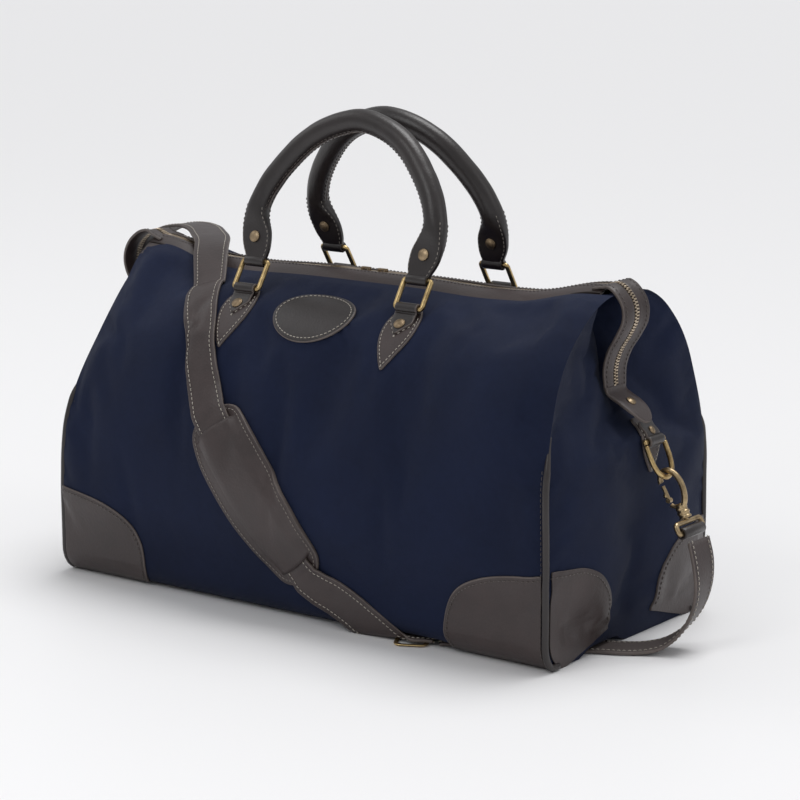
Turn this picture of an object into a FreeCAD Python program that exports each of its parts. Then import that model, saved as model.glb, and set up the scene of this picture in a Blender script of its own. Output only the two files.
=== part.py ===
import FreeCAD, Part
import math
import os

# Weekender bag: canvas body, leather trim, rolled handles and a shoulder strap.
# Frame: origin at the centre of the base, +X along the bag, -Y is the front, +Z up, millimetres.

V = FreeCAD.Vector
doc = FreeCAD.newDocument("weekender")

SIZES = [
    ("half_length", 262.0), ("half_depth", 122.0), ("base_half_depth", 100.0),
    ("base_fillet", 22.0), ("shoulder_height", 168.0), ("shoulder_radius", 112.0),
    ("mouth_half_gap", 24.0), ("mouth_flat_half", 180.0), ("mouth_end_rise", 12.0),
    ("canvas", 2.4), ("base_thick", 8.0), ("board_thick", 3.0),
    ("leather", 1.8), ("gap", 0.3), ("piping_radius", 3.0), ("piping_stand", 2.6),
    ("band_half_length", 242.0), ("band_inner", 5.0), ("band_outer", 25.5), ("band_thick", 2.2),
    ("tape_inner", 1.5), ("tape_outer", 23.4), ("tape_thick", 1.0),
    ("chain_half_width", 3.2), ("chain_thick", 2.0),
    ("tail_width", 34.0), ("tail_thick", 3.0), ("tab_width", 26.0), ("stud_radius", 5.0),
    ("oval_width", 80.0), ("oval_height", 56.0),
    ("ring_x", 87.5), ("ring_wire", 2.25), ("ring_half_width", 13.75), ("ring_corner", 2.6),
    ("ring_low_y", 69.0), ("ring_low_z", 270.0), ("ring_top_y", 55.0), ("ring_top_z", 292.0),
    ("loop_width", 21.0), ("loop_wall", 2.5), ("running_fit", 0.05),
    ("handle_lean", 17.0), ("handle_radius", 10.0), ("foot_thick", 3.2), ("foot_half_width", 15.0),
    ("rivet_radius", 5.0), ("rivet_head", 1.6), ("rivet_shank", 1.8),
    ("strap_width", 32.0), ("strap_thick", 2.6), ("strap_gap", 0.5), ("strap_bend", 6.0),
    ("pad_width", 66.0), ("pad_thick", 6.5), ("pad_end", 3.0),
    ("dring_wire", 2.2), ("dring_half_width", 14.0), ("dring_reach", 32.0),
    ("hook_wire", 2.5), ("gate_wire", 1.7), ("collar_radius", 4.6), ("collar_length", 9.0),
    ("eye_wire", 2.2), ("eye_half_width", 19.2), ("eye_drop", 20.0), ("eye_corner", 2.6),
    ("slider_x", 9.0), ("slider_length", 12.0), ("slider_half_width", 4.5),
    ("pull_length", 30.0), ("pull_width", 8.0), ("pull_thick", 1.6),
    ("buckle_across", 44.0), ("buckle_along", 30.0), ("buckle_bar", 4.0), ("buckle_thick", 1.8),
]
sheet = doc.addObject("Spreadsheet::Sheet", "Sizes")
for row, (alias, value) in enumerate(SIZES, start=1):
    sheet.set("A%d" % row, alias)
    sheet.set("B%d" % row, str(value))
    sheet.setAlias("B%d" % row, alias)
doc.recompute()


def size(alias):
    return float(sheet.get(alias))


nodes = []


def keep(feature, label):
    feature.Label = label
    nodes.append(feature)
    return feature


def feature(label, shape, placement=None):
    """A sub-part whose curved shape neither a sketch nor a primitive gives."""
    item = doc.addObject("Part::Feature", label)
    item.Shape = shape
    if placement:
        item.Placement = placement
    return keep(item, label)


# ---------------------------------------------------------------- body profile

HALF = size("half_length")
SIDE = size("half_depth")
RADIUS = size("shoulder_radius")
FILLET = size("base_fillet")
ARC_Y = SIDE - RADIUS
ARC_END = math.acos((size("mouth_half_gap") - ARC_Y) / RADIUS)
S_ARC = RADIUS * ARC_END
S_WALL = S_ARC + size("shoulder_height") - FILLET
S_BASE = S_WALL + FILLET * math.pi / 2
MOUTH_Z = size("shoulder_height") + RADIUS * math.sin(ARC_END)


def rise(x):
    """How far the mouth lifts towards the ends of the bag."""
    beyond = max(0.0, abs(x) - size("mouth_flat_half"))
    part = min(1.0, beyond / (size("band_half_length") - size("mouth_flat_half")))
    return size("mouth_end_rise") * part * part * (3 - 2 * part)


def mouth(x):
    return MOUTH_Z + rise(x)


def wrap(side, x, run, off, fillet=None):
    """Point on the front (-1) or back (+1) skin: run mm down from the mouth, off mm proud of it."""
    base = size("shoulder_height")
    fillet = fillet or FILLET
    wall_end = S_ARC + base - fillet
    fillet_end = wall_end + fillet * math.pi / 2
    if run < S_ARC:
        angle = ARC_END - run / RADIUS
        tall = RADIUS + rise(x) / math.sin(ARC_END)
        normal = V(0, math.cos(angle) / RADIUS, math.sin(angle) / tall).normalize()
        spot = V(x, ARC_Y + RADIUS * math.cos(angle), base + tall * math.sin(angle))
    elif run < wall_end:
        normal = V(0, 1, 0)
        spot = V(x, SIDE, base - (run - S_ARC))
    elif run < fillet_end:
        angle = (run - wall_end) / fillet
        normal = V(0, math.cos(angle), -math.sin(angle))
        spot = V(x, SIDE - fillet, fillet) + normal * fillet
    else:
        normal = V(0, 0, -1)
        spot = V(x, SIDE - fillet - (run - fillet_end), 0)
    spot = spot + normal * off
    return V(spot.x, side * spot.y, spot.z)


def normal_at(side, x, run):
    return (wrap(side, x, run, 1.0) - wrap(side, x, run, 0.0)).normalize()


def curve(points):
    if len(points) == 2:
        return Part.makeLine(points[0], points[1])
    spline = Part.BSplineCurve()
    spline.interpolate(points)
    return spline.toShape()


def strip_wire(outer, inner):
    """Closed section from an outer and an inner row of points."""
    return Part.Wire([curve(outer), Part.makeLine(outer[-1], inner[-1]),
                      curve(inner[::-1]), Part.makeLine(inner[0], outer[0])])


def loft(wires, ruled=False):
    return Part.makeLoft(wires, True, ruled, False)


def steps(first, last, count):
    return [first + (last - first) * k / count for k in range(count + 1)]


LONG = [-HALF, -242, -220, -200, -180, -90, 0, 90, 180, 200, 220, 242, HALF]


def skin(side, stations, first, last, low, high):
    """A curved sheet on the front or back, between two runs and two offsets."""
    runs = steps(first, last, 40)
    wires = [strip_wire([wrap(side, x, r, high) for r in runs],
                        [wrap(side, x, r, low) for r in runs]) for x in stations]
    return loft(wires)


# ---------------------------------------------------------------- strap route

STRAP = size("strap_thick")
WIDE = size("strap_width")
GAP = size("strap_gap")
BEND = size("strap_bend")

# run along the front, measured on the flattened skin: (x, run, offset of the strap's inner face)
PAD_FROM = (-82.0, 158.0)
PAD_TO = (25.0, 290.0)
PAD_LENGTH = math.hypot(PAD_TO[0] - PAD_FROM[0], PAD_TO[1] - PAD_FROM[1])
OVER_PAD = GAP + size("pad_end") + GAP


def on_pad(along):
    part = along / PAD_LENGTH
    return (PAD_FROM[0] + (PAD_TO[0] - PAD_FROM[0]) * part,
            PAD_FROM[1] + (PAD_TO[1] - PAD_FROM[1]) * part)


def refine(route, longest=9.0):
    """The same route with extra stations, so that straight pieces follow the curve closely."""
    full = [route[0]]
    for here, there in zip(route, route[1:]):
        count = math.ceil(math.hypot(there[0] - here[0], there[1] - here[1]) / longest)
        full += [tuple(a + (b - a) * k / count for a, b in zip(here, there))
                 for k in range(1, count + 1)]
    return full


PAD_STRAP = [(0, OVER_PAD), (12, OVER_PAD), (19, GAP + 1.8), (26, GAP), (55, GAP), (85, GAP),
             (115, GAP), (PAD_LENGTH - 26, GAP), (PAD_LENGTH - 19, GAP + 1.8),
             (PAD_LENGTH - 12, OVER_PAD), (PAD_LENGTH, OVER_PAD)]
FRONT_ROUTE = [(-140, 34, 2.4), (-128, 60, 0.8), (-112, 92, 2.6), (-100, 120, 2.4), (-91, 140, 2.0)]
FRONT_ROUTE += [on_pad(along) + (off,) for along, off in PAD_STRAP]
FRONT_ROUTE += [(38, 297, 2.4), (50, 302, GAP), (62, 307, GAP), (74, 313, 0.2), (84, 319, -0.6),
                (94, 325, -1.8), (104, 331.5, -3.3), (113, 337, -4.5)]
PAD_ROUTE = refine(FRONT_ROUTE[3:-3])
LOW_ROUTE = refine(FRONT_ROUTE[-6:])
BUCKLE_AT = (122.0, -107.0)
UNDER_END = (HALF, -36.0)
STRAP_LOW = 0.3
BUCKLE_LOW = 0.2
STRAP_OVER = size("buckle_thick") + BUCKLE_LOW + 0.3 - STRAP_LOW


def flat_tangent(route, k):
    ahead = route[min(k + 1, len(route) - 1)]
    behind = route[max(k - 1, 0)]
    length = math.hypot(ahead[0] - behind[0], ahead[1] - behind[1])
    return (ahead[0] - behind[0]) / length, (ahead[1] - behind[1]) / length


def flat_end(x, run, low, high, width, along, down):
    """The same section as a plain rectangle, for the end of a strip."""
    centre = wrap(-1, x, run, 0, BEND)
    out = (wrap(-1, x, run, 1, BEND) - centre).normalize()
    aside = (wrap(-1, x + down, run - along, 0, BEND)
             - wrap(-1, x - down, run + along, 0, BEND)).normalize()
    aside = (aside - out * aside.dot(out)).normalize()
    offsets = steps(-width / 2, width / 2, 10)
    return strip_wire([centre + aside * a + out * high for a in offsets],
                      [centre + aside * a + out * low for a in offsets])


def wrapped_sections(route, width, below, above, flat=()):
    """Sections of a strap lying on the front skin; below and above widen it for cutters."""
    wires = []
    for k, (x, run, off) in enumerate(route):
        along, down = flat_tangent(route, k)
        if k in flat:
            wires.append(flat_end(x, run, off - below, off + STRAP + above, width, along, down))
            continue
        outer, inner = [], []
        for across in steps(-width / 2, width / 2, 10):
            px, pr = x + down * across, run - along * across
            outer.append(wrap(-1, px, pr, off + STRAP + above, BEND))
            inner.append(wrap(-1, px, pr, off - below, BEND))
        wires.append(strip_wire(outer, inner))
    return wires


def free_sections(route, width, below=0.0, above=0.0):
    """Sections of a strap in the air: route of (centre, direction of its width)."""
    wires = []
    for k, (centre, aside) in enumerate(route):
        ahead = route[min(k + 1, len(route) - 1)][0]
        behind = route[max(k - 1, 0)][0]
        tangent = (ahead - behind).normalize()
        aside = V(aside).normalize()
        out = tangent.cross(aside).normalize()
        offsets = steps(-width / 2, width / 2, 10)
        wires.append(strip_wire([centre + aside * a + out * (STRAP / 2 + above) for a in offsets],
                                [centre + aside * a - out * (STRAP / 2 + below) for a in offsets]))
    return wires


def flat_sections(points, width, low, high, direction):
    """Sections lying level under the base, at the given heights."""
    aside = V(direction[1], -direction[0], 0)
    wires = []
    for x, y, lift in points:
        offsets = steps(-width / 2, width / 2, 10)
        outer = [V(x, y, low + lift) + aside * a for a in offsets]
        inner = [V(x, y, high + lift) + aside * a for a in offsets]
        wires.append(strip_wire(outer, inner))
    return wires


UNDER_SPAN = math.hypot(UNDER_END[0] - BUCKLE_AT[0], UNDER_END[1] - BUCKLE_AT[1])
UNDER_DIR = ((UNDER_END[0] - BUCKLE_AT[0]) / UNDER_SPAN, (UNDER_END[1] - BUCKLE_AT[1]) / UNDER_SPAN)
ALONG = V(UNDER_DIR[0], UNDER_DIR[1], 0)
ASIDE = V(UNDER_DIR[1], -UNDER_DIR[0], 0)


def under(distance, lift=0.0):
    """Point of the route below the base, measured from the buckle, as (x, y, lift)."""
    return (BUCKLE_AT[0] + UNDER_DIR[0] * distance, BUCKLE_AT[1] + UNDER_DIR[1] * distance, lift)


LEFT_ROUTE = [(V(-296, 34, 244.5), V(0, 1, 0)), (V(-298, 35, 262), V(0, 1, 0)),
              (V(-290, 37, 283), V(0.1, 1, 0)), (V(-270, 40, 296), V(0.15, 1, 0)),
              (V(-245, 38, 301), V(0.3, 1, 0)), (V(-220, 28, 301), V(0.55, 0.84, 0)),
              (V(-198, 10, 299.5), V(0.7, 0.72, 0.05)), (V(-178, -8, 297.5), V(0.75, 0.66, 0.1)),
              (V(-160, -31, 290.5), V(0.78, 0.6, 0.25))]
RIGHT_ROUTE = [(V(278, -28, 1.6), V(0.45, -0.89, 0)), (V(292, -19, 2.4), V(0.45, -0.89, 0)),
               (V(306, -11, 7), V(0.4, -0.92, 0)), (V(318, -3, 18), V(0.3, -0.95, 0)),
               (V(327, 4, 35), V(0.2, -0.98, 0)), (V(329, 10, 54), V(0.1, -1, 0)),
               (V(325, 15, 73), V(0, -1, 0)), (V(318.5, 18, 90), V(0, -1, 0))]

front_sections = wrapped_sections(refine(FRONT_ROUTE), WIDE, 0, 0)
buckle_sections = flat_sections([under(d, STRAP_OVER) for d in (0, 10, 18)], WIDE,
                                STRAP_LOW, STRAP_LOW + STRAP, UNDER_DIR)
strap_long_main = loft(free_sections(LEFT_ROUTE, WIDE) + front_sections + buckle_sections, True)

channel_front = loft(wrapped_sections(LOW_ROUTE, WIDE + 4, 0.8, 4, (0,))
                     + flat_sections([under(d) for d in (0, 18)], WIDE + 6, -3, 6.0, UNDER_DIR), True)
channel_under = loft(flat_sections([under(d) for d in (10, 60, 120, UNDER_SPAN + 8)], WIDE + 6,
                                   -3, STRAP_LOW + STRAP + 0.9, UNDER_DIR), True)
buckle_room = loft(flat_sections([under(d) for d in (-20, 20)], size("buckle_across") + 5,
                                 -3, 6.0, UNDER_DIR), True)
channel = channel_front.fuse(channel_under).fuse(buckle_room)

# ---------------------------------------------------------------- canvas body

CANVAS = size("canvas")
for side, label in ((-1, "front_panel"), (1, "back_panel")):
    panel = skin(side, LONG, 0, S_BASE, -CANVAS, 0)
    feature(label, panel.cut(channel) if side < 0 else panel)

base_block = doc.addObject("Part::Box", "base_block")
base_block.setExpression("Length", "Sizes.half_length * 2 - Sizes.canvas * 2")
base_block.setExpression("Width", "Sizes.base_half_depth * 2")
base_block.setExpression("Height", "Sizes.base_thick")
base_block.setExpression("Placement.Base.x", "Sizes.canvas - Sizes.half_length")
base_block.setExpression("Placement.Base.y", "-Sizes.base_half_depth")
channel_tool = doc.addObject("Part::Feature", "channel_tool")
channel_tool.Shape = channel
base_panel = doc.addObject("Part::Cut", "base_panel")
base_panel.Base, base_panel.Tool = base_block, channel_tool
keep(base_panel, "base_panel")

board = doc.addObject("Part::Box", "base_board")
board.setExpression("Length", "Sizes.half_length * 2 - 14")
board.setExpression("Width", "Sizes.base_half_depth * 2 - 4")
board.setExpression("Height", "Sizes.board_thick")
board.setExpression("Placement.Base.x", "7 - Sizes.half_length")
board.setExpression("Placement.Base.y", "2 - Sizes.base_half_depth")
board.setExpression("Placement.Base.z", "Sizes.base_thick + 0.3")
keep(board, "base_board")


def facets(triangles, push):
    """Sheet made of flat faces, all thickened by the same push."""
    solid = None
    for corners in triangles:
        face = Part.Face(Part.makePolygon(list(corners) + [corners[0]]))
        piece = face.extrude(push)
        solid = piece if solid is None else solid.fuse(piece)
    return solid.removeSplitter()


FOLD_TIP = (272.0, 172.0)
FOLD_DEEP = (236.0, 205.0)
MOUTH_END = (222.0, 284.0)
CORNER_RUNS = (92.0, 60.0, 28.0, 3.0)


def gusset(end):
    """End panel: flat below, bulging to the tip of the fold, tucked in above it."""
    inset = -CANVAS - 0.2
    tip = V(end * FOLD_TIP[0], 0, FOLD_TIP[1])
    deep = V(end * FOLD_DEEP[0], 0, FOLD_DEEP[1])
    top = V(end * MOUTH_END[0], 0, MOUTH_END[1])
    waist = V(end * HALF, 0, 90)
    faces = []
    for side in (-1, 1):
        def edge(run):
            spot = wrap(side, end * HALF, run, inset)
            return V(end * HALF, spot.y, spot.z)
        floor = V(end * HALF, 0, 0)
        rim = [edge(r) for r in (S_BASE, S_BASE - 12, S_BASE - 24, S_WALL, S_ARC + 78)]
        foot = V(rim[0].x, rim[0].y - side * 0.2, rim[0].z)
        faces.append([V(foot.x, foot.y, 0), foot, rim[1], rim[2], rim[3], rim[4], waist, floor])
        wall, p0, p1, p2, p3 = [edge(r) for r in (S_ARC,) + CORNER_RUNS]
        faces += [[waist, rim[4], wall], [waist, wall, tip], [tip, wall, p0],
                  [tip, p0, deep], [deep, p0, p1], [deep, p1, top], [top, p1, p2], [top, p2, p3]]
    return facets(faces, V(-end * CANVAS, 0, 0))


for end, label in ((-1, "left_gusset"), (1, "right_gusset")):
    shape = gusset(end)
    feature(label, shape.cut(channel) if end > 0 else shape)

# ---------------------------------------------------------------- leather trim

LEATHER = size("leather")
TRIM_LOW = size("gap")
TRIM_HIGH = TRIM_LOW + LEATHER


def outline(points, lift):
    """Smooth closed face through points, moved along lift both ways into a prism."""
    spline = Part.BSplineCurve()
    spline.interpolate(points, True)
    face = Part.Face(Part.Wire(spline.toShape()))
    face.translate(lift * -0.5)
    return face.extrude(lift)


def side_patch(side, end):
    """Half-round corner patch on the front or back, beside the piping."""
    edge = end * (HALF - 1.2)
    shape = [(165, 3), (164, 27), (169, 45), (183, 60), (208, 71), (237, 77)]
    points = [V(end * x, side * SIDE, z) for x, z in shape]
    spline = Part.BSplineCurve()
    spline.interpolate([V(end * 172, side * SIDE, -6)] + points + [V(edge, side * SIDE, 79)])
    start, finish = spline.StartPoint, spline.EndPoint
    corner = V(edge, side * SIDE, -6)
    wire = Part.Wire([spline.toShape(), Part.makeLine(finish, corner), Part.makeLine(corner, start)])
    face = Part.Face(wire)
    face.translate(V(0, -side * 40, 0))
    prism = face.extrude(V(0, side * 60, 0))
    reach = sorted([end * 150, edge])
    return skin(side, reach, S_ARC + 50, S_BASE - 2, TRIM_LOW, TRIM_HIGH).common(prism)


def end_patch(side, end):
    """The same patch round the corner, on the end panel."""
    shape = [(-118, 78), (-85, 71), (-60, 62), (-42, 46), (-33, 26), (-32, 3)]
    points = [V(end * (HALF + TRIM_LOW), -side * y, z) for y, z in shape]
    spline = Part.BSplineCurve()
    spline.interpolate(points)
    low_out = V(points[0].x, side * (SIDE - 19), 0.6)
    low_in = V(points[0].x, points[-1].y, 0.6)
    curve_side = V(points[0].x, side * (SIDE - 4), 21)
    wire = Part.Wire([spline.toShape(), Part.makeLine(points[-1], low_in),
                      Part.makeLine(low_in, low_out), Part.makeLine(low_out, curve_side),
                      Part.makeLine(curve_side, points[0])])
    return Part.Face(wire).extrude(V(end * LEATHER, 0, 0))


for side, side_name in ((-1, "front"), (1, "back")):
    for end, end_name in ((-1, "left"), (1, "right")):
        pieces = [side_patch(side, end), end_patch(side, end)]
        if side < 0 and end > 0:
            pieces = [piece.cut(channel) for piece in pieces]
        feature("corner_patch_%s_%s" % (side_name, end_name), Part.makeCompound(
            [solid for piece in pieces for solid in piece.Solids]))

PIPE = size("piping_radius")


def piping(side, end):
    stand = size("piping_stand")
    points = [wrap(side, end * HALF, r, stand) + V(end * stand, 0, 0)
              for r in (4, 20, 45, 75, 110, 150, S_ARC + 20, S_ARC + 80, S_WALL - 6, S_WALL + 9)]
    path = Part.Wire(curve(points))
    ring = Part.Wire(Part.makeCircle(PIPE, points[0], points[1] - points[0]))
    return path.makePipeShell([ring], True, True)


for end, label in ((-1, "piping_left"), (1, "piping_right")):
    feature(label, Part.makeCompound([piping(-1, end), piping(1, end)]))


def rail(side, inner, outer, low, high, reach):
    """Long strip beside the zip, following the mouth."""
    wires = []
    for x in [-reach, -231, -221, -211, -201, -191, -180, 180, 191, 201, 211, 221, 231, reach]:
        z = mouth(x)
        wires.append(Part.makePolygon([V(x, side * inner, z + low), V(x, side * outer, z + low),
                                       V(x, side * outer, z + high), V(x, side * inner, z + high),
                                       V(x, side * inner, z + low)]))
    return loft(wires, True)


BAND = size("band_half_length")
for side, name in ((-1, "front"), (1, "back")):
    feature("top_band_" + name, rail(side, size("band_inner"), size("band_outer"),
                                     TRIM_LOW, TRIM_LOW + size("band_thick"), BAND))
    feature("zip_tape_" + name, rail(side, size("tape_inner"), size("tape_outer"),
                                     -0.3 - size("tape_thick"), -0.3, BAND - 2))
chain_half = size("chain_half_width")
feature("zip_chain", rail(1, -chain_half, chain_half, -0.1, size("chain_thick"), BAND - 1))


def side_strip(points, y, width, thick, taper=1.0):
    """Leather strip along a route in a vertical plane, narrowing to taper."""
    wires = []
    last = len(points) - 1
    for k, (x, z) in enumerate(points):
        ahead, behind = points[min(k + 1, last)], points[max(k - 1, 0)]
        tangent = V(ahead[0] - behind[0], 0, ahead[1] - behind[1]).normalize()
        out = V(-tangent.z, 0, tangent.x)
        half = width / 2 * (1 + (taper - 1) * k / last)
        centre = V(x, y, z)
        wires.append(Part.makePolygon([centre + V(0, a, 0) + out * b for a, b in (
            (-half, -thick / 2), (half, -thick / 2), (half, thick / 2), (-half, thick / 2),
            (-half, -thick / 2))]))
    return loft(wires)


TAILS = {
    "left": [(-243.5, 294.5), (-251, 299), (-262, 296), (-273, 286), (-279, 273), (-276, 259),
             (-263, 244), (-251, 228), (-247, 212)],
    "right": [(243.5, 294.5), (250, 297), (258, 293), (266, 282), (266, 269), (259, 256),
              (250, 242), (246, 227), (247, 212)],
}
TABS = {
    "left": [(-248, 209), (-252, 205.5), (-262, 200.5), (-272, 193.5), (-281, 185)],
    "right": [(248, 209), (252, 205.5), (262, 200.5), (272, 193.5), (281, 185)],
}
studs = []
for name, end in (("left", -1), ("right", 1)):
    feature("zip_tail_" + name, side_strip(TAILS[name], 0, size("tail_width"), size("tail_thick"), 0.85))
    feature("zip_tab_" + name, side_strip(TABS[name], 0, size("tab_width"), size("tail_thick"), 0.25))
    out = V(end * 0.5, 0, 0.866)
    spot = V(end * 262, 0, 200.5) + out * (size("tail_thick") / 2 + 0.2)
    studs.append(Part.makeCylinder(size("stud_radius"), size("rivet_head"), spot, out))
feature("zip_tab_studs", Part.makeCompound(studs))

# oval patch on the shoulder, left plain
oval_run = 62.0
oval_out = normal_at(-1, -2, oval_run)
oval_spot = wrap(-1, -2, oval_run, 1.2)
oval_up = V(1, 0, 0).cross(oval_out) * -1
oval_face = [oval_spot + V(1, 0, 0) * (size("oval_width") / 2 * math.cos(a))
             + oval_up * (size("oval_height") / 2 * math.sin(a))
             for a in [2 * math.pi * k / 16 for k in range(16)]]
feature("oval_patch", skin(-1, [-60, 60], 20, 110, TRIM_LOW, TRIM_HIGH).common(
    outline(oval_face, oval_out * 30)))

# ---------------------------------------------------------------- chapes, rings and handles

LOW_Y, LOW_Z = size("ring_low_y"), size("ring_low_z")
TOP_Y, TOP_Z = size("ring_top_y"), size("ring_top_z")
BORE = size("ring_wire") + size("running_fit")
WALL = BORE + size("loop_wall")
LEAF = [(0, 37), (9.5, 38.5), (14, 48), (16.5, 60), (15, 73), (9.5, 88), (0, 102), (-9.5, 88),
        (-15, 73), (-16.5, 60), (-14, 48), (-9.5, 38.5)]
FOLD = [(0, 38), (9.8, 40), (10.2, 50), (8.2, 60), (0, 69), (-8.2, 60), (-10.2, 50), (-9.8, 40)]
RIVET_RUN = 60.0


def eye(centre, width, axis, bore=BORE, wall=WALL):
    """Leather wrapped round a bar: a short tube with a running fit."""
    start = centre - axis * (width / 2)
    return (Part.makeCylinder(wall, width, start, axis)
            .cut(Part.makeCylinder(bore, width, start, axis)))


def on_skin(side, x, shape, middle, low, high):
    """Smooth flat outline of (dx, run) points, laid on the skin between two offsets."""
    spot, out = wrap(side, x, middle, 1.2), normal_at(side, x, middle)
    up = V(0, 0, 1) - out * out.z
    up.normalize()
    points = [spot + V(dx, 0, 0) + up * (middle - run) for dx, run in shape]
    return skin(side, [x - 30, x + 30], 20, 120, low, high).common(outline(points, out * 30))


def chape(side, x):
    """Pointed leaf sewn to the body; its top is folded over the ring's low bar and riveted down."""
    leaf = on_skin(side, x, LEAF, 68, TRIM_LOW, TRIM_HIGH)
    fold = on_skin(side, x, FOLD, 54, TRIM_HIGH - 0.2, TRIM_HIGH + 2.0)
    centre = V(x, side * LOW_Y, LOW_Z)
    tube = eye(centre, size("loop_width"), V(1, 0, 0))
    room = Part.makeCylinder(BORE, 40, centre - V(20, 0, 0), V(1, 0, 0))
    return leaf.fuse(fold).fuse(tube).cut(room).removeSplitter()


def rounded_loop(half_x, corners, wire_radius, radius, to_place):
    """Wire bent to a rounded rectangle, in local x, y, then placed."""
    low, high = corners
    r = radius
    path_points = [V(half_x - r, low, 0), V(half_x, low + r, 0), V(half_x, high - r, 0),
                   V(half_x - r, high, 0), V(r - half_x, high, 0), V(-half_x, high - r, 0),
                   V(-half_x, low + r, 0), V(r - half_x, low, 0)]
    k = r * (1 - math.sqrt(0.5))
    mids = [V(half_x - k, low + k, 0), V(half_x - k, high - k, 0),
            V(k - half_x, high - k, 0), V(k - half_x, low + k, 0)]
    p = path_points
    edges = [Part.makeLine(V(0, low, 0), p[0]), Part.Arc(p[0], mids[0], p[1]).toShape(),
             Part.makeLine(p[1], p[2]), Part.Arc(p[2], mids[1], p[3]).toShape(),
             Part.makeLine(p[3], p[4]), Part.Arc(p[4], mids[2], p[5]).toShape(),
             Part.makeLine(p[5], p[6]), Part.Arc(p[6], mids[3], p[7]).toShape(),
             Part.makeLine(p[7], V(0, low, 0))]
    section = Part.Wire(Part.makeCircle(wire_radius, V(0, low, 0), V(1, 0, 0)))
    solid = Part.Wire(edges).makePipeShell([section], True, True)
    solid.Placement = to_place
    return solid


def ring(side, x):
    low = V(x, side * LOW_Y, LOW_Z)
    top = V(x, side * TOP_Y, TOP_Z)
    up = (top - low).normalize()
    frame = FreeCAD.Rotation(V(1, 0, 0), up, V(1, 0, 0).cross(up), "XYZ")
    reach = (top - low).Length
    return rounded_loop(size("ring_half_width"), (0, reach), size("ring_wire"),
                        size("ring_corner"), FreeCAD.Placement(low, frame))


LEAN = math.radians(size("handle_lean"))
FOOT, FOOT_WIDE, TUBE = size("foot_thick"), size("foot_half_width"), size("handle_radius")
HANDLE = [(87.5, 3.2, 11, FOOT), (88.5, 11, 13.5, FOOT), (91, 21, FOOT_WIDE, FOOT + 0.3),
          (94, 31, 13.5, 5.5), (95.5, 41, 11, 8.5), (94, 52, TUBE, TUBE), (87, 69, TUBE, TUBE),
          (74, 88, TUBE, TUBE), (54, 109, TUBE, TUBE), (30, 123, TUBE, TUBE), (0, 130, TUBE, TUBE)]


def handle(side):
    along = V(0, -side * math.sin(LEAN), math.cos(LEAN))
    out = V(0, side * math.cos(LEAN), math.sin(LEAN))
    origin = V(0, side * TOP_Y, TOP_Z)
    route = HANDLE + [(-u, v, a, b) for u, v, a, b in HANDLE[-2::-1]]
    spots = [origin + V(1, 0, 0) * u + along * v for u, v, a, b in route]
    wires = []
    for k, (u, v, half_a, half_b) in enumerate(route):
        if k == 0:
            tangent = along
        elif k == len(route) - 1:
            tangent = along * -1
        else:
            tangent = (spots[k + 1] - spots[k - 1]).normalize()
        across = out.cross(tangent).normalize()
        points = []
        for step in range(16):
            angle = 2 * math.pi * step / 16
            c, s = math.cos(angle), math.sin(angle)
            flat = 0.5 if half_b < 5 else (0.8 if half_b < 8 else 1.0)
            points.append(spots[k] + across * (half_a * math.copysign(abs(c) ** flat, c))
                          + out * (half_b * math.copysign(abs(s) ** flat, s)))
        spline = Part.BSplineCurve()
        spline.interpolate(points, True)
        wires.append(Part.Wire(spline.toShape()))
    body = loft(wires)
    for x in (-size("ring_x"), size("ring_x")):
        centre = origin + V(x, 0, 0)
        body = body.fuse(eye(centre, size("loop_width"), V(1, 0, 0)))
        body = body.cut(Part.makeCylinder(BORE, 40, centre - V(20, 0, 0), V(1, 0, 0)))
    return body


def rivet(centre, axis, half_span):
    """Double-headed rivet: a shank with a head on each side."""
    head, shank = size("rivet_radius"), size("rivet_shank")
    tall = size("rivet_head")
    body = Part.makeCylinder(shank, 2 * half_span, centre - axis * half_span, axis)
    for way in (-1, 1):
        start = centre + axis * (way * half_span)
        body = body.fuse(Part.makeCone(head, head * 0.72, tall, start, axis * way))
    return body


chape_rivets = []
for side, side_name in ((-1, "front"), (1, "back")):
    for end, end_name in ((-1, "left"), (1, "right")):
        x = end * size("ring_x")
        feature("chape_%s_%s" % (side_name, end_name), chape(side, x))
        feature("ring_%s_%s" % (side_name, end_name), ring(side, x))
        out = normal_at(side, x, RIVET_RUN)
        spot = wrap(side, x, RIVET_RUN, TRIM_HIGH + 2.0)
        chape_rivets.append(Part.makeCone(size("rivet_radius"), size("rivet_radius") * 0.72,
                                          size("rivet_head"), spot, out))
    feature("handle_" + side_name, handle(side))
    along = V(0, -side * math.sin(LEAN), math.cos(LEAN))
    out = V(0, side * math.cos(LEAN), math.sin(LEAN))
    feet = [rivet(V(u, side * TOP_Y, TOP_Z) + along * 21, out, FOOT + 0.5) for u in (-91, 91)]
    feature("handle_%s_rivets" % side_name, Part.makeCompound(feet))
feature("chape_rivets", Part.makeCompound(chape_rivets))

# ---------------------------------------------------------------- strap, pad and buckle


def eye_bar(at):
    """Strap end wrapped round the bar of a swivel eye."""
    return eye(at, WIDE, V(0, 1, 0), size("eye_wire") + size("running_fit"),
               size("eye_wire") + size("running_fit") + STRAP)


HOOKS = {
    "right": dict(bar=V(275.5, 16, 168), reach=V(0.42, 0, -0.907), up=V(-0.5, 0, 0.866),
                  away=V(0.866, 0, 0.5)),
    "left": dict(bar=V(-274, 34, 168), reach=V(-0.42, 0, 0.907), up=V(0.25, 0, -0.968),
                 away=V(-0.968, 0, -0.25)),
}
for parts in HOOKS.values():
    for key in ("reach", "up", "away"):
        parts[key].normalize()
    parts["wire"] = parts["bar"] + parts["reach"] * size("dring_reach")
    parts["root"] = parts["wire"] - parts["up"] * 28
    parts["eye"] = parts["root"] - parts["up"] * size("eye_drop")

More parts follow.
